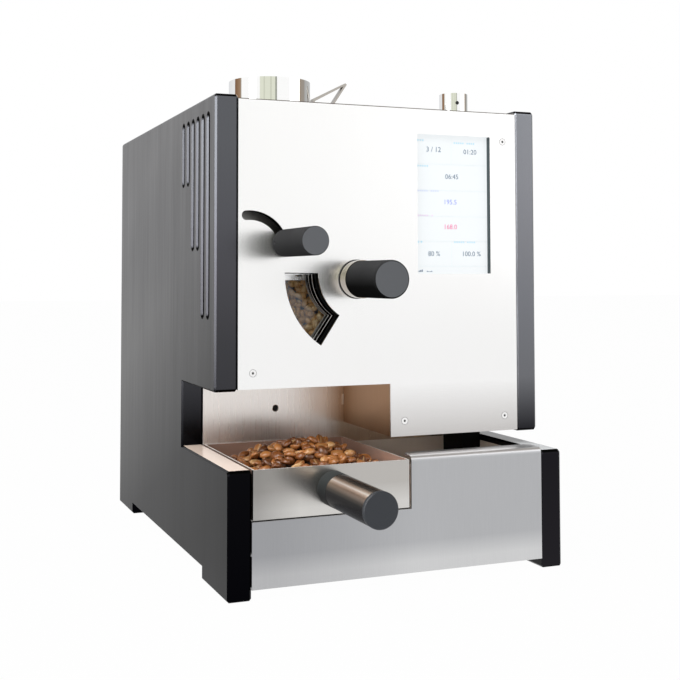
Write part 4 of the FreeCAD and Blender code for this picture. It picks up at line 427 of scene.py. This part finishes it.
brassFinish = {"axis": "y", "rough": 0.25, "dark": (0.55, 0.4, 0.18), "light": (0.75, 0.58, 0.3)}
motorFinish = {"grains": 1200.0, "rough": 0.4, "bump": 0.1, "dark": (0.05, 0.05, 0.055),
               "light": (0.09, 0.09, 0.1)}
paneFinish = {"metal": 1.0, "rough": 0.02, "colour": (0.80, 0.88, 1.0), "alpha": 0.035}
litFinish = {"rough": 0.12, "colour": (0.30, 0.31, 0.32), "glowColour": (0.93, 0.97, 0.985), "glow": 0.74}


def paintEverything():
    paint(anodised("leftPlateBlack", leftPlate), "left_side_plate")
    paint(anodised("rightPlateBlack", rightPlate), "right_side_plate")
    paint(brushed("frontSteel", frontFinish), "front_panel")
    paint(brushed("baseSteel", baseFinish), "base_front_panel")
    paint(brushed("hoodSteel", hoodFinish), "cavity_hood")
    paint(brushed("wallSteel", wallFinish), "cavity_rear_wall")
    paint(brushed("basinSteel", basinFinish), "basin_liner")
    paint(brushed("traySteel", trayFinish), "tray_pan", "tray_screen")
    paint(brushed("topSteel", topFinish), "top_panel")
    paint(brushed("brightSteel", brightFinish), "panel_screws")
    paint(brushed("ringSteel", ringFinish), "glass_retainer")
    paint(brushed("gateSteel", gateFinish), "hopper_gate", "discharge_lever")
    paint(brushed("plainSteel", plainFinish), "rear_panel", "bulkhead", "upper_floor", "base_floor",
          "tray_shelf", "chamber_rear_plate", "bearing_carrier", "discharge_door")
    paint(brushed("chamberSteel", chamberFinish), "chamber_shell", "exhaust_pipe", "feed_chute", "drum_shell",
          "drum_vanes", "drum_shaft", "heater_element")
    paint(coated("matteBlack", blackFinish), "inner_panel", "window_frames", "cable_duct", "display_module",
          "power_inlet", "power_rocker", "cooling_fan_frame", "cooling_fan_rotor", "blower_impeller")
    paint(coated("knobCharcoal", knobFinish), "trier_handle")
    paint(coated("leverCharcoal", leverFinish), "discharge_knob")
    paint(coated("collarGrey", collarFinish), "tray_handle_collar")
    paint(coated("capBlueBlack", capFinish), "tray_handle_cap")
    paint(polished("tubeBronze", tubeFinish), "tray_handle_tube")
    paint(polished("mirrorSteel", mirrorFinish), "hopper", "damper_knob", "damper_flap", "drum_bearings")
    paint(polished("trierSteel", trierFinish), "trier_guide", "trier_spoon", "drum_pulley", "motor_pulley")
    paint(polished("bushBrass", brassFinish), "trier_bush")
    paint(coated("softRubber", rubberFinish), "trier_gasket", "door_cable", "drum_belt")
    paint(coated("mineralWool", woolFinish), "chamber_insulation")
    paint(coated("motorPaint", motorFinish), "drum_motor", "blower_housing")
    paint(newFinish("windowPane", **paneFinish), "window_glass")
    paint(newFinish("litScreen", **litFinish), "display_glass")


paintEverything()
print("finishes done")


# A new piece from a bmesh, with its finish, on the body that carries it.
def newPiece(name, bm, finish, body):
    mesh = bpy.data.meshes.new(name)
    bm.to_mesh(mesh)
    bm.free()
    mesh.materials.append(finish.owner)
    piece = bpy.data.objects.new(name, mesh)
    bpy.context.scene.collection.objects.link(piece)
    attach(piece, body)
    return piece


# Coffee beans: one template, turned and placed many times in a single mesh.
bean = {
    "long": 0.0066,
    "wide": 0.0049,
    "dome": 0.0042,
    "flat": 0.0018,
    "groove": 0.0014,
    "grooveWide": 0.12,  # as a share of the half width, and of the half length
    "grooveLong": 0.97,
    "waver": 0.07,
    "sizes": (0.86, 1.06),
    "longer": (0.9, 1.06),
    "wider": (0.92, 1.05),
}


def beanTemplate(values):
    bm = bmesh.new()
    bmesh.ops.create_uvsphere(bm, u_segments=12, v_segments=7, radius=1.0)
    bmesh.ops.transform(bm, matrix=Matrix.Rotation(math.radians(90), 4, "Y"), verts=bm.verts)
    cut = bm.verts.layers.float.new("cut")
    for v in bm.verts:
        x, y, z = v.co
        below = z < 0
        middle = below and abs(y) < values["grooveWide"] and abs(x) < values["grooveLong"]
        v[cut] = 1.0 if middle else 0.0
        height = values["flat"] * -(abs(z) ** 0.5) if below else values["dome"] * z
        if middle:
            height += values["groove"]
            y += values["waver"] * math.sin(3.0 * x)
        v.co = (x * values["long"], y * values["wide"], height)
    mesh = bpy.data.meshes.new("beanTemplate")
    bm.to_mesh(mesh)
    bm.free()
    return mesh


def layBeans(name, spots, rng, finish, body, scale):
    template = beanTemplate(bean)
    bm = bmesh.new()
    tone = bm.verts.layers.float.new("tone")
    bm.verts.layers.float.new("cut")
    for centre, turn in spots:
        before = len(bm.verts)
        bm.from_mesh(template)
        bm.verts.ensure_lookup_table()
        fresh = bm.verts[before:]
        grow = rng.uniform(*bean["sizes"]) * scale
        long, wide = grow * rng.uniform(*bean["longer"]), grow * rng.uniform(*bean["wider"])
        size = Matrix.Diagonal((long, wide, grow, 1.0))
        bmesh.ops.transform(bm, matrix=Matrix.Translation(centre) @ turn @ size, verts=fresh)
        shade = rng.random()
        for v in fresh:
            v[tone] = shade
    piece = newPiece(name, bm, finish, body)
    piece.data.shade_smooth()
    return piece


def beanFinish(name, values):
    finish = newFinish(name, specular=0.5, coat=values["coat"], coatRough=0.16)
    tone = finish.node("ShaderNodeAttribute", {"attribute_name": "tone"}, output="Fac")
    cut = finish.node("ShaderNodeAttribute", {"attribute_name": "cut"}, output="Fac")
    grain = finish.noise(finish.place(), 3.0, 0.6, 420.0)
    patch = finish.noise(finish.place(), 2.0, 0.5, 130.0)
    body = finish.ramp(tone * 0.85 + patch * 0.3 - 0.07, values["tones"])
    speckled = finish.mix(finish.remap(grain, 0.35, 0.7), body, values["speck"], "MULTIPLY")
    finish.set("Base Color", finish.mix(finish.remap(cut, 0.5, 0.95, 0.0, 0.9), speckled, values["seam"]))
    finish.set("Roughness", finish.remap(patch, 0.3, 0.7, 0.28, 0.42))
    return finish.bump(grain, 0.25, 0.0004)


trayBeans = {
    "centre": (0.116, 0.040),  # of the heap, in the machine's own x and y
    "peak": 0.1388,
    "slope": 0.42,
    "steeper": 1.25,  # on the right side
    "roundTop": 0.030,
    "inset": 0.0066,
    "wall": 0.0019,
    "scale": 1.12,
    "spacing": 0.0106,
    "layers": 2,
    "layerDrop": 0.0052,
    "jitter": 0.0018,
    "faceDown": 0.45,  # the share that lies on its round side
    "lean": (27, 24),  # degrees
    "bedDrop": 0.0075,
    "bedShadeTones": ((0.008, 0.003, 0.002), (0.03, 0.011, 0.005)),
    "tries": 9000,
    "seed": 7,
    "coat": 0.5,
    "tones": [(0.0, (0.075, 0.024, 0.008)), (0.40, (0.31, 0.106, 0.028)), (0.84, (0.58, 0.235, 0.066)),
              (0.94, (0.86, 0.56, 0.26))],
    "speck": (0.80, 0.75, 0.70),
    "seam": (0.74, 0.47, 0.22),
}


def heapHeight(values, x, y):
    across = x - values["centre"][0]
    away = math.hypot(across * (values["steeper"] if across > 0 else 1.0), y - values["centre"][1])
    return values["peak"] + values["slope"] * (values["roundTop"] - math.hypot(away, values["roundTop"]))


# The tray's inside, left, right, front and back, in the machine's own x and y.
def trayInside(values):
    return (trayLow[0] - leftFace + values["wall"], trayHigh[0] - leftFace - values["wall"],
            trayLow[1] - frontFace + values["wall"], trayHigh[1] - frontFace - values["wall"])


def heapSpots(values, rng):
    left, right, front, back = trayInside(values)
    inset, jitter, lean = values["inset"], values["jitter"], values["lean"]
    spots = []
    for layer in range(values["layers"]):
        placed = []
        for _ in range(values["tries"]):
            x = rng.uniform(left + inset, right - inset)
            y = rng.uniform(front + inset, back - inset)
            if any((x - a) ** 2 + (y - b) ** 2 < values["spacing"] ** 2 for a, b in placed):
                continue
            placed.append((x, y))
            z = heapHeight(values, x, y) - layer * values["layerDrop"] + rng.uniform(-jitter, jitter)
            face = 180 if rng.random() < values["faceDown"] else 0
            turn = Euler((math.radians(face + rng.gauss(0, lean[0])), math.radians(rng.gauss(0, lean[1])),
                          rng.uniform(0, 2 * math.pi)), "XYZ")
            spots.append((spot(x, y, z), turn.to_matrix().to_4x4()))
    return spots


# The dark mass of beans below the ones that show, as painted shade: a dark sheet beneath them.
def heapShadeBed(values):
    left, right, front, back = trayInside(values)
    bm = bmesh.new()
    bmesh.ops.create_grid(bm, x_segments=24, y_segments=26, size=0.5)
    size = Matrix.Diagonal((right - left, back - front, 1, 1))
    shift = Matrix.Translation(spot((left + right) / 2, (front + back) / 2, 0))
    bmesh.ops.transform(bm, matrix=shift @ size, verts=bm.verts)
    for v in bm.verts:
        v.co.z = heapHeight(values, v.co.x - leftFace, v.co.y - frontFace) - values["bedDrop"]
    dark = newFinish("beanShadow", rough=0.9)
    shade = dark.noise(dark.place(), 2.0, 0.5, 160.0)
    dark.set("Base Color", dark.mix(shade, *values["bedShadeTones"]))
    newPiece("beanShadeBed", bm, dark, "tray")


def makeTrayBeans(values):
    rng = random.Random(values["seed"])
    spots = heapSpots(values, rng)
    layBeans("trayBeans", spots, rng, beanFinish("roastedBeans", values), "tray", values["scale"])
    heapShadeBed(values)
    print("beans in the tray:", len(spots))


makeTrayBeans(trayBeans)

# Beans that lean against the window's glass inside the drum.
windowBeans = {
    "radii": (0.0480, 0.0880),
    "angles": (171.0, 246.0),
    "depth": 0.0462,
    "bare": (189.0, 0.061),  # no beans where both angle and radius are smaller
    "behind": 0.003,
    "jitter": (-0.0003, 0.0012),
    "faceDown": 0.15,
    "lean": 22,  # degrees
    "scale": 0.78,
    "spacing": 0.0064,
    "tries": 9000,
    "seed": 21,
    "coat": 0.15,
    # partly the beans' own golden colour, partly painted light that makes up for the shade they lie in
    "tones": [(0.0, (0.60, 0.33, 0.11)), (0.5, (0.92, 0.58, 0.24)), (1.0, (1.0, 0.82, 0.48))],
    "speck": (0.80, 0.76, 0.70),
    "seam": (0.55, 0.33, 0.14),
}


def makeWindowBeans(values):
    rng = random.Random(values["seed"])
    low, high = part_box("drum_shell")
    axisX, axisZ = (low[0] + high[0]) / 2 - leftFace, (low[2] + high[2]) / 2
    near, far = values["radii"]
    first, last = (math.radians(a) for a in values["angles"])
    spots = []
    placed = []
    for i in range(values["tries"]):
        if i == values["tries"] // 2:  # a second layer behind
            placed = []
        behind = values["behind"] if i >= values["tries"] // 2 else 0.0
        reach = rng.uniform(near, far)
        angle = rng.uniform(first, last)
        x = axisX + reach * math.cos(angle)
        z = axisZ + reach * math.sin(angle)
        if math.degrees(angle) < values["bare"][0] and reach < values["bare"][1]:
            continue
        if any((x - a) ** 2 + (z - b) ** 2 < values["spacing"] ** 2 for a, b in placed):
            continue
        placed.append((x, z))
        face = -90 if rng.random() < values["faceDown"] else 90
        lean = Matrix.Rotation(rng.uniform(0, 2 * math.pi), 4, "Y") @ Matrix.Rotation(
            math.radians(face + rng.gauss(0, values["lean"])), 4, "X")
        spots.append((spot(x, values["depth"] + behind + rng.uniform(*values["jitter"]), z), lean))
    layBeans("windowBeans", spots, rng, beanFinish("windowBeanSkin", values), "frame", values["scale"])
    print("beans behind the window:", len(spots))


makeWindowBeans(windowBeans)


# A ring about an axis along y: a small circle spun once round it.
def addRing(bm, centre, radius, thick, segments=32):
    made = bmesh.ops.create_circle(bm, segments=8, radius=thick)
    lean = Matrix.Rotation(math.radians(180), 4, "X")
    start = Matrix.Translation(centre + Vector((radius, 0, 0)))
    bmesh.ops.transform(bm, matrix=start @ lean, verts=made["verts"])
    edges = list({edge for v in made["verts"] for edge in v.link_edges})
    bmesh.ops.spin(bm, geom=made["verts"] + edges, cent=centre, axis=(0, 1, 0), angle=2 * math.pi,
                   steps=segments, use_merge=True)


# A short rod along y, its front face at the centre given.
def addPlug(bm, centre, radius, deep, segments=24):
    made = bmesh.ops.create_cone(bm, cap_ends=True, segments=segments, radius1=radius, radius2=radius,
                                 depth=deep)
    place = Matrix.Translation(centre + Vector((0, deep / 2, 0))) @ Matrix.Rotation(math.radians(90), 4, "X")
    bmesh.ops.transform(bm, matrix=place, verts=made["verts"])


def addBlock(bm, low, high):
    made = bmesh.ops.create_cube(bm, size=1.0)
    size = Matrix.Diagonal((high[0] - low[0], high[1] - low[1], high[2] - low[2], 1))
    place = Matrix.Translation((Vector(low) + Vector(high)) / 2)
    bmesh.ops.transform(bm, matrix=place @ size, verts=made["verts"])


shadowBlack = {"rough": 0.7, "colour": (0.005, 0.005, 0.005)}
liningTeal = {"rough": 0.35, "colour": (0.012, 0.030, 0.036)}
headSteel = {"metal": 1.0, "rough": 0.22, "colour": (0.93, 0.93, 0.93)}

# The four screws: their places on the panel, and painted shade on them: the dark line round a head, the
# socket's floor.
screwTrim = {
    "spots": [(0.0410, 0.2165), (0.2130, 0.1595), (0.3370, 0.1595), (0.3370, 0.4685)],
    "lineRadius": 0.00385,
    "line": 0.00018,
    "socketRadius": 0.00128,
    "socketDepth": 0.0009,
    "socketFloor": 0.0002,
}


def makeScrewTrim(values):
    dark = bmesh.new()
    for x, z in values["spots"]:
        addRing(dark, spot(x, 0.0, z), values["lineRadius"], values["line"])
        addPlug(dark, spot(x, values["socketDepth"], z), values["socketRadius"], values["socketFloor"])
    grey = newFinish("screwShadow", rough=0.6, colour=(0.10, 0.10, 0.10))
    newPiece("screw_shadow", dark, grey, "frame")


# The sensor hole in the tray bay's rear wall: a black plug behind it as painted shade, with a thin bright
# rim.
sensor = {
    "spot": (0.1110, 0.1633),
    "hole": 0.0034,
    "cover": 1.6,  # the probe's radius over the hole's
    "rim": 0.00035,
    "behind": 0.0004,
    "deep": 0.004,
}


def makeSensor(values):
    low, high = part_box("cavity_rear_wall")
    x, z = values["spot"]
    front, back = low[1] - frontFace, high[1] - frontFace
    eye = bmesh.new()
    addPlug(eye, spot(x, back + values["behind"], z), values["hole"] * values["cover"], values["deep"])
    newPiece("sensor_hole_shade", eye, newFinish("sensorHoleShade", **shadowBlack), "frame")
    rim = bmesh.new()
    addRing(rim, spot(x, front, z), values["hole"] + values["rim"], values["rim"])
    newPiece("sensor_rim", rim, newFinish("sensorRim", **headSteel), "frame")


# A folded tab where the hood's side wall meets the rear wall.
hoodTab = {
    "wide": 0.0022,
    "thick": 0.0005,
    "foot": 0.1640,
    "top": 0.1765,
    "inset": 0.0013,  # the side wall's thickness and a hair
    "colour": (0.98, 0.84, 0.72),
}


def makeHoodTab(values):
    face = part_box("cavity_rear_wall")[0][1]
    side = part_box("cavity_hood")[1][0] - values["inset"]
    bm = bmesh.new()
    addBlock(bm, (side - values["wide"], face - values["thick"], values["foot"]), (side, face, values["top"]))
    tab = newFinish("tabSteel", metal=0.3, rough=0.3, colour=values["colour"])
    newPiece("hood_tab", bm, tab, "frame")


# The set-screw hole in the damper's knob, darkened inside by a black plug: painted shade.
setScrew = {
    "radius": 0.0023,
    "reach": 0.01712,
    "turn": 259.0,  # degrees from the machine's x
    "drop": 0.012,
    "deep": 0.002,
}


def makeSetScrew(values):
    low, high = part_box("damper_knob")
    turn = math.radians(values["turn"])
    x = (low[0] + high[0]) / 2 + values["reach"] * math.cos(turn)
    y = (low[1] + high[1]) / 2 + values["reach"] * math.sin(turn)
    bm = bmesh.new()
    addPlug(bm, Vector((x, y, high[2] - values["drop"])), values["radius"], values["deep"])
    newPiece("set_screw_shadow", bm, newFinish("setScrewShadow", **shadowBlack), "damper")


makeScrewTrim(screwTrim)
makeSensor(sensor)
makeHoodTab(hoodTab)
makeSetScrew(setScrew)
print("small trim done")

# The lit screen: a pale field in a dark lining, cell lines, short label strokes, plain numbers.
screenPage = {
    "margin": 0.006,  # by which the glass is larger than the opening
    "proud": 0.0003,
    "rows": (0.052, 0.232, 0.412, 0.600, 0.790),  # cell lines, as shares of the height
    "middle": 0.49,
    "numbers": [
        ("01:20", 0.755, 0.890, 0.0076, "ink"),
        ("3 / 12", 0.25, 0.898, 0.0080, "ink"),
        ("06:45", 0.500, 0.704, 0.0076, "ink"),
        ("195.5", 0.475, 0.519, 0.0076, "blue"),
        ("168.0", 0.475, 0.339, 0.0076, "red"),
        ("80 %", 0.25, 0.144, 0.0076, "ink"),
        ("100.0 %", 0.765, 0.144, 0.0076, "ink"),
    ],
    "labels": [
        (0.03, 0.955, 0.10, "cyan"), (0.53, 0.945, 0.30, "cyan"), (0.03, 0.770, 0.19, "cyan"),
        (0.03, 0.590, 0.30, "lilac"), (0.03, 0.412, 0.22, "rose"), (0.03, 0.222, 0.08, "cyan"),
        (0.53, 0.222, 0.30, "cyan"),
    ],
    "stroke": 0.0018,
    "strokes": 34,  # in a label as wide as the screen; the last but one of every seven is left out
    "strokeShare": 0.45,
    "line": 0.00035,
    "signFoot": 0.012,
    "signWide": 0.014,
    "signs": [(0.02, 0.0008), (0.04, 0.0014), (0.06, 0.0020), (0.08, 0.0026), (0.15, 0.0012), (0.17, 0.0007),
              (0.19, 0.0007), (0.21, 0.0012)],  # small bars at the foot: place across, height
    "lining": 0.0007,
    "liningStart": 0.0004,
    "liningEnd": 0.0001,  # short of the glass
    "inks": {
        "ink": (0.10, 0.16, 0.24), "blue": (0.30, 0.36, 0.85), "red": (0.80, 0.16, 0.36),
        "cyan": (0.38, 0.68, 0.85), "lilac": (0.56, 0.62, 0.88), "rose": (0.76, 0.56, 0.78),
        "rule": (0.68, 0.735, 0.755),
    },
}
glassLow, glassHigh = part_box("display_glass")
screenCorner = (glassLow[0] + screenPage["margin"], glassLow[2] + screenPage["margin"])
screenWide = glassHigh[0] - glassLow[0] - 2 * screenPage["margin"]
screenTall = glassHigh[2] - glassLow[2] - 2 * screenPage["margin"]


# A flat patch on the screen; its low left corner in shares of the screen, its size in metres.
def addPatch(bm, low, size):
    made = bmesh.ops.create_grid(bm, x_segments=1, y_segments=1, size=0.5)
    x = screenCorner[0] + screenWide * low[0] + size[0] / 2
    z = screenCorner[1] + screenTall * low[1] + size[1] / 2
    place = Matrix.Translation((x, glassLow[1] - screenPage["proud"], z))
    turn = Matrix.Rotation(math.radians(90), 4, "X")
    bmesh.ops.transform(bm, matrix=place @ turn @ Matrix.Diagonal((*size, 1, 1)), verts=made["verts"])


def addNumber(bm, text, x, z, height):
    curve = bpy.data.curves.new("number", "FONT")
    curve.body = text
    curve.size = height
    curve.align_x = "CENTER"
    curve.resolution_u = 3
    letter = bpy.data.objects.new("number", curve)
    bpy.context.scene.collection.objects.link(letter)
    flat = bpy.data.meshes.new_from_object(letter.evaluated_get(bpy.context.evaluated_depsgraph_get()))
    bpy.data.objects.remove(letter)
    place = Vector((screenCorner[0] + screenWide * x, glassLow[1] - screenPage["proud"],
                    screenCorner[1] + screenTall * z - height * 0.35))
    flat.transform(Matrix.Translation(place) @ Matrix.Rotation(math.radians(90), 4, "X"))
    bm.from_mesh(flat)


def addRules(bm, values):
    line = values["line"]
    rows = values["rows"]
    for share in rows:
        addPatch(bm, (0.0, share), (screenWide, line))
    for low, high in ((rows[0], rows[1]), (rows[-1], 1.0)):
        addPatch(bm, (values["middle"], low), (line, screenTall * (high - low)))


def addLabel(bm, values, left, low, length):
    strokes = int(length * values["strokes"])
    wide = screenWide * length / strokes * values["strokeShare"]
    for i in range(strokes):
        if i % 7 != 5:
            addPatch(bm, (left + i * length / strokes, low), (wide, values["stroke"]))


def makeScreen(values):
    for ink, colour in values["inks"].items():
        bm = bmesh.new()
        if ink == "rule":
            addRules(bm, values)
        if ink == "ink":
            for left, tall in values["signs"]:
                addPatch(bm, (left, values["signFoot"]), (screenWide * values["signWide"], tall))
        for left, low, length, tint in values["labels"]:
            if tint == ink:
                addLabel(bm, values, left, low, length)
        for text, x, z, height, tint in values["numbers"]:
            if tint == ink:
                addNumber(bm, text, x, z, height)
        finish = newFinish("screen_" + ink, rough=0.3, specular=0.3, colour=colour, glowColour=colour,
                           glow=0.3)
        newPiece("screen_" + ink, bm, finish, "frame")
    print("screen page done")


# The opening's dark right side, from just behind the panel's face down to the glass.
def makeLining(values):
    thick = values["lining"]
    right = screenCorner[0] + screenWide
    bm = bmesh.new()
    addBlock(bm, (right - thick, frontFace + values["liningStart"], screenCorner[1]),
             (right, glassLow[1] - values["liningEnd"], screenCorner[1] + screenTall))
    newPiece("screen_lining", bm, newFinish("liningTeal", **liningTeal), "frame")


makeScreen(screenPage)
makeLining(screenPage)

# The studio: white floor and background, the room that bright metal mirrors, soft lamps.
studio = {
    "floorReach": 14,
    "floor": (0.50, 0.50, 0.50),
    "floorSeen": 0.985,  # the share of plain white in what the camera sees of the floor
    "floorMirrored": 0.93,
    "world": 0.34,
    "overhead": (0.24, 0.215, 0.19),
    "overheadFrom": 0.72,
    "overheadFull": 0.86,
    "zenith": (0.965, 0.985),  # from here up a mirror shows the room again
}
lamps = [  # name, place, what it points at, width and height, watts
    ("keyLamp", (-1.2, -1.5, 1.7), (0, 0, 0.25), (1.2, 1.2), 22.0),
    ("fillLamp", (1.8, -1.2, 1.0), (0, 0, 0.25), (1.4, 1.4), 7.0),
    ("topLamp", (-0.9, -0.2, 2.1), (0, 0, 0.2), (1.2, 1.2), 18.0),
    ("stripLamp", (-2.2, -1.0, 0.7), (0, 0, 0.4), (0.8, 1.9), 22.0),
]
# What a mirror shows all round, in degrees to the right of the way back to the camera: where a
# stretch begins and ends, and its colour at both.
stretchFade = 0.4
white = (1.0, 1.0, 1.0)
leaf = (0.74, 0.76, 0.64)
leafLine = (0.50, 0.52, 0.42)
room = [
    (-180, -110, (0.70, 0.71, 0.73), (0.84, 0.84, 0.85)),
    (-110, -86, (0.20, 0.105, 0.055), (0.34, 0.22, 0.14)),
    (-86, -82, (0.34, 0.28, 0.22), (0.40, 0.36, 0.30)),
    (-82, -23, white, white),
    (-23, -12, leaf, leaf),
    (-12, -10, leafLine, leafLine),
    (-10, 7, leaf, leaf),
    (7, 9, leafLine, leafLine),
    (9, 20, leaf, leaf),
    (20, 25, (0.25, 0.26, 0.22), (0.33, 0.34, 0.29)),
    (25, 74, white, white),
    (74, 96, (0.90, 0.89, 0.87), (0.76, 0.74, 0.71)),
    (96, 102, (0.22, 0.13, 0.075), (0.28, 0.22, 0.15)),
    (102, 122, (0.34, 0.29, 0.24), (0.33, 0.30, 0.27)),
    (122, 180, (0.42, 0.42, 0.41), (0.60, 0.60, 0.60)),
]


def roomStops(stretches):
    stops = []
    for begin, end, first, last in stretches:
        stops.append(((begin + 180 + stretchFade) / 360, first))
        stops.append(((end + 180 - stretchFade) / 360, last))
    return stops


# The floor: lit where the lamps and shadows reach it, near plain white to the camera and in mirrors.
def makeFloor():
    bm = bmesh.new()
    bmesh.ops.create_grid(bm, x_segments=2, y_segments=2, size=studio["floorReach"])
    mesh = bpy.data.meshes.new("floor")
    bm.to_mesh(mesh)
    bm.free()
    floor = bpy.data.objects.new("floor", mesh)
    bpy.context.scene.collection.objects.link(floor)
    finish = newFinish("floorWhite", rough=0.6, specular=0.2, colour=studio["floor"])
    path = finish.node("ShaderNodeLightPath", output="Is Camera Ray")
    glossy = path.output("Is Glossy Ray")
    plain = finish.node("ShaderNodeEmission", None, {"Color": white, "Strength": 1.0})
    mirrored = finish.node("ShaderNodeEmission", None, {"Color": white, "Strength": studio["floorMirrored"]})
    lit = Wire(finish, finish.shader.outputs[0])
    lower = finish.node("ShaderNodeMixShader", None, {0: glossy, 1: lit, 2: mirrored})
    both = finish.node("ShaderNodeMixShader", None, {0: path * studio["floorSeen"], 1: lower, 2: plain})
    finish.feed(finish.tree.nodes["Material Output"].inputs["Surface"], both)
    mesh.materials.append(finish.owner)


def makeWorld():
    world = bpy.data.worlds.new("studioWorld")
    world.use_nodes = True
    bpy.context.scene.world = world
    finish = Finish(world, "Background")
    turn = math.radians(camera["turn"])
    path = finish.node("ShaderNodeLightPath", output="Is Camera Ray")
    seen = path.maths("MAXIMUM", path, path.output("Is Transmission Ray"))
    x, y, z = finish.split(finish.node("ShaderNodeTexCoord", output="Generated"))
    right = x * math.cos(turn) - y * math.sin(turn)
    back = x * -math.sin(turn) - y * math.cos(turn)
    angle = right.maths("ARCTAN2", right, back)
    around = finish.ramp(angle / (2 * math.pi) + 0.5, roomStops(room))
    high = finish.remap(z, studio["overheadFrom"], studio["overheadFull"])
    zenith = finish.remap(z, *studio["zenith"])
    mirrored = finish.mix(high - zenith * high, around, studio["overhead"])
    plain = (studio["world"], studio["world"], studio["world"])
    unseen = finish.mix(path.output("Is Glossy Ray"), plain, mirrored)
    finish.set("Color", finish.mix(seen, unseen, white))


def softLamp(name, place, aim, size, power):
    data = bpy.data.lights.new(name, "AREA")
    data.shape = "RECTANGLE"
    data.size = size[0]
    data.size_y = size[1]
    data.energy = power
    lamp = bpy.data.objects.new(name, data)
    lamp.location = place
    lamp.rotation_euler = (Vector(aim) - Vector(place)).to_track_quat("-Z", "Y").to_euler()
    bpy.context.scene.collection.objects.link(lamp)


makeFloor()
makeWorld()
for lamp in lamps:
    softLamp(*lamp)
bpy.context.scene.view_settings.view_transform = "Standard"
print("studio done")
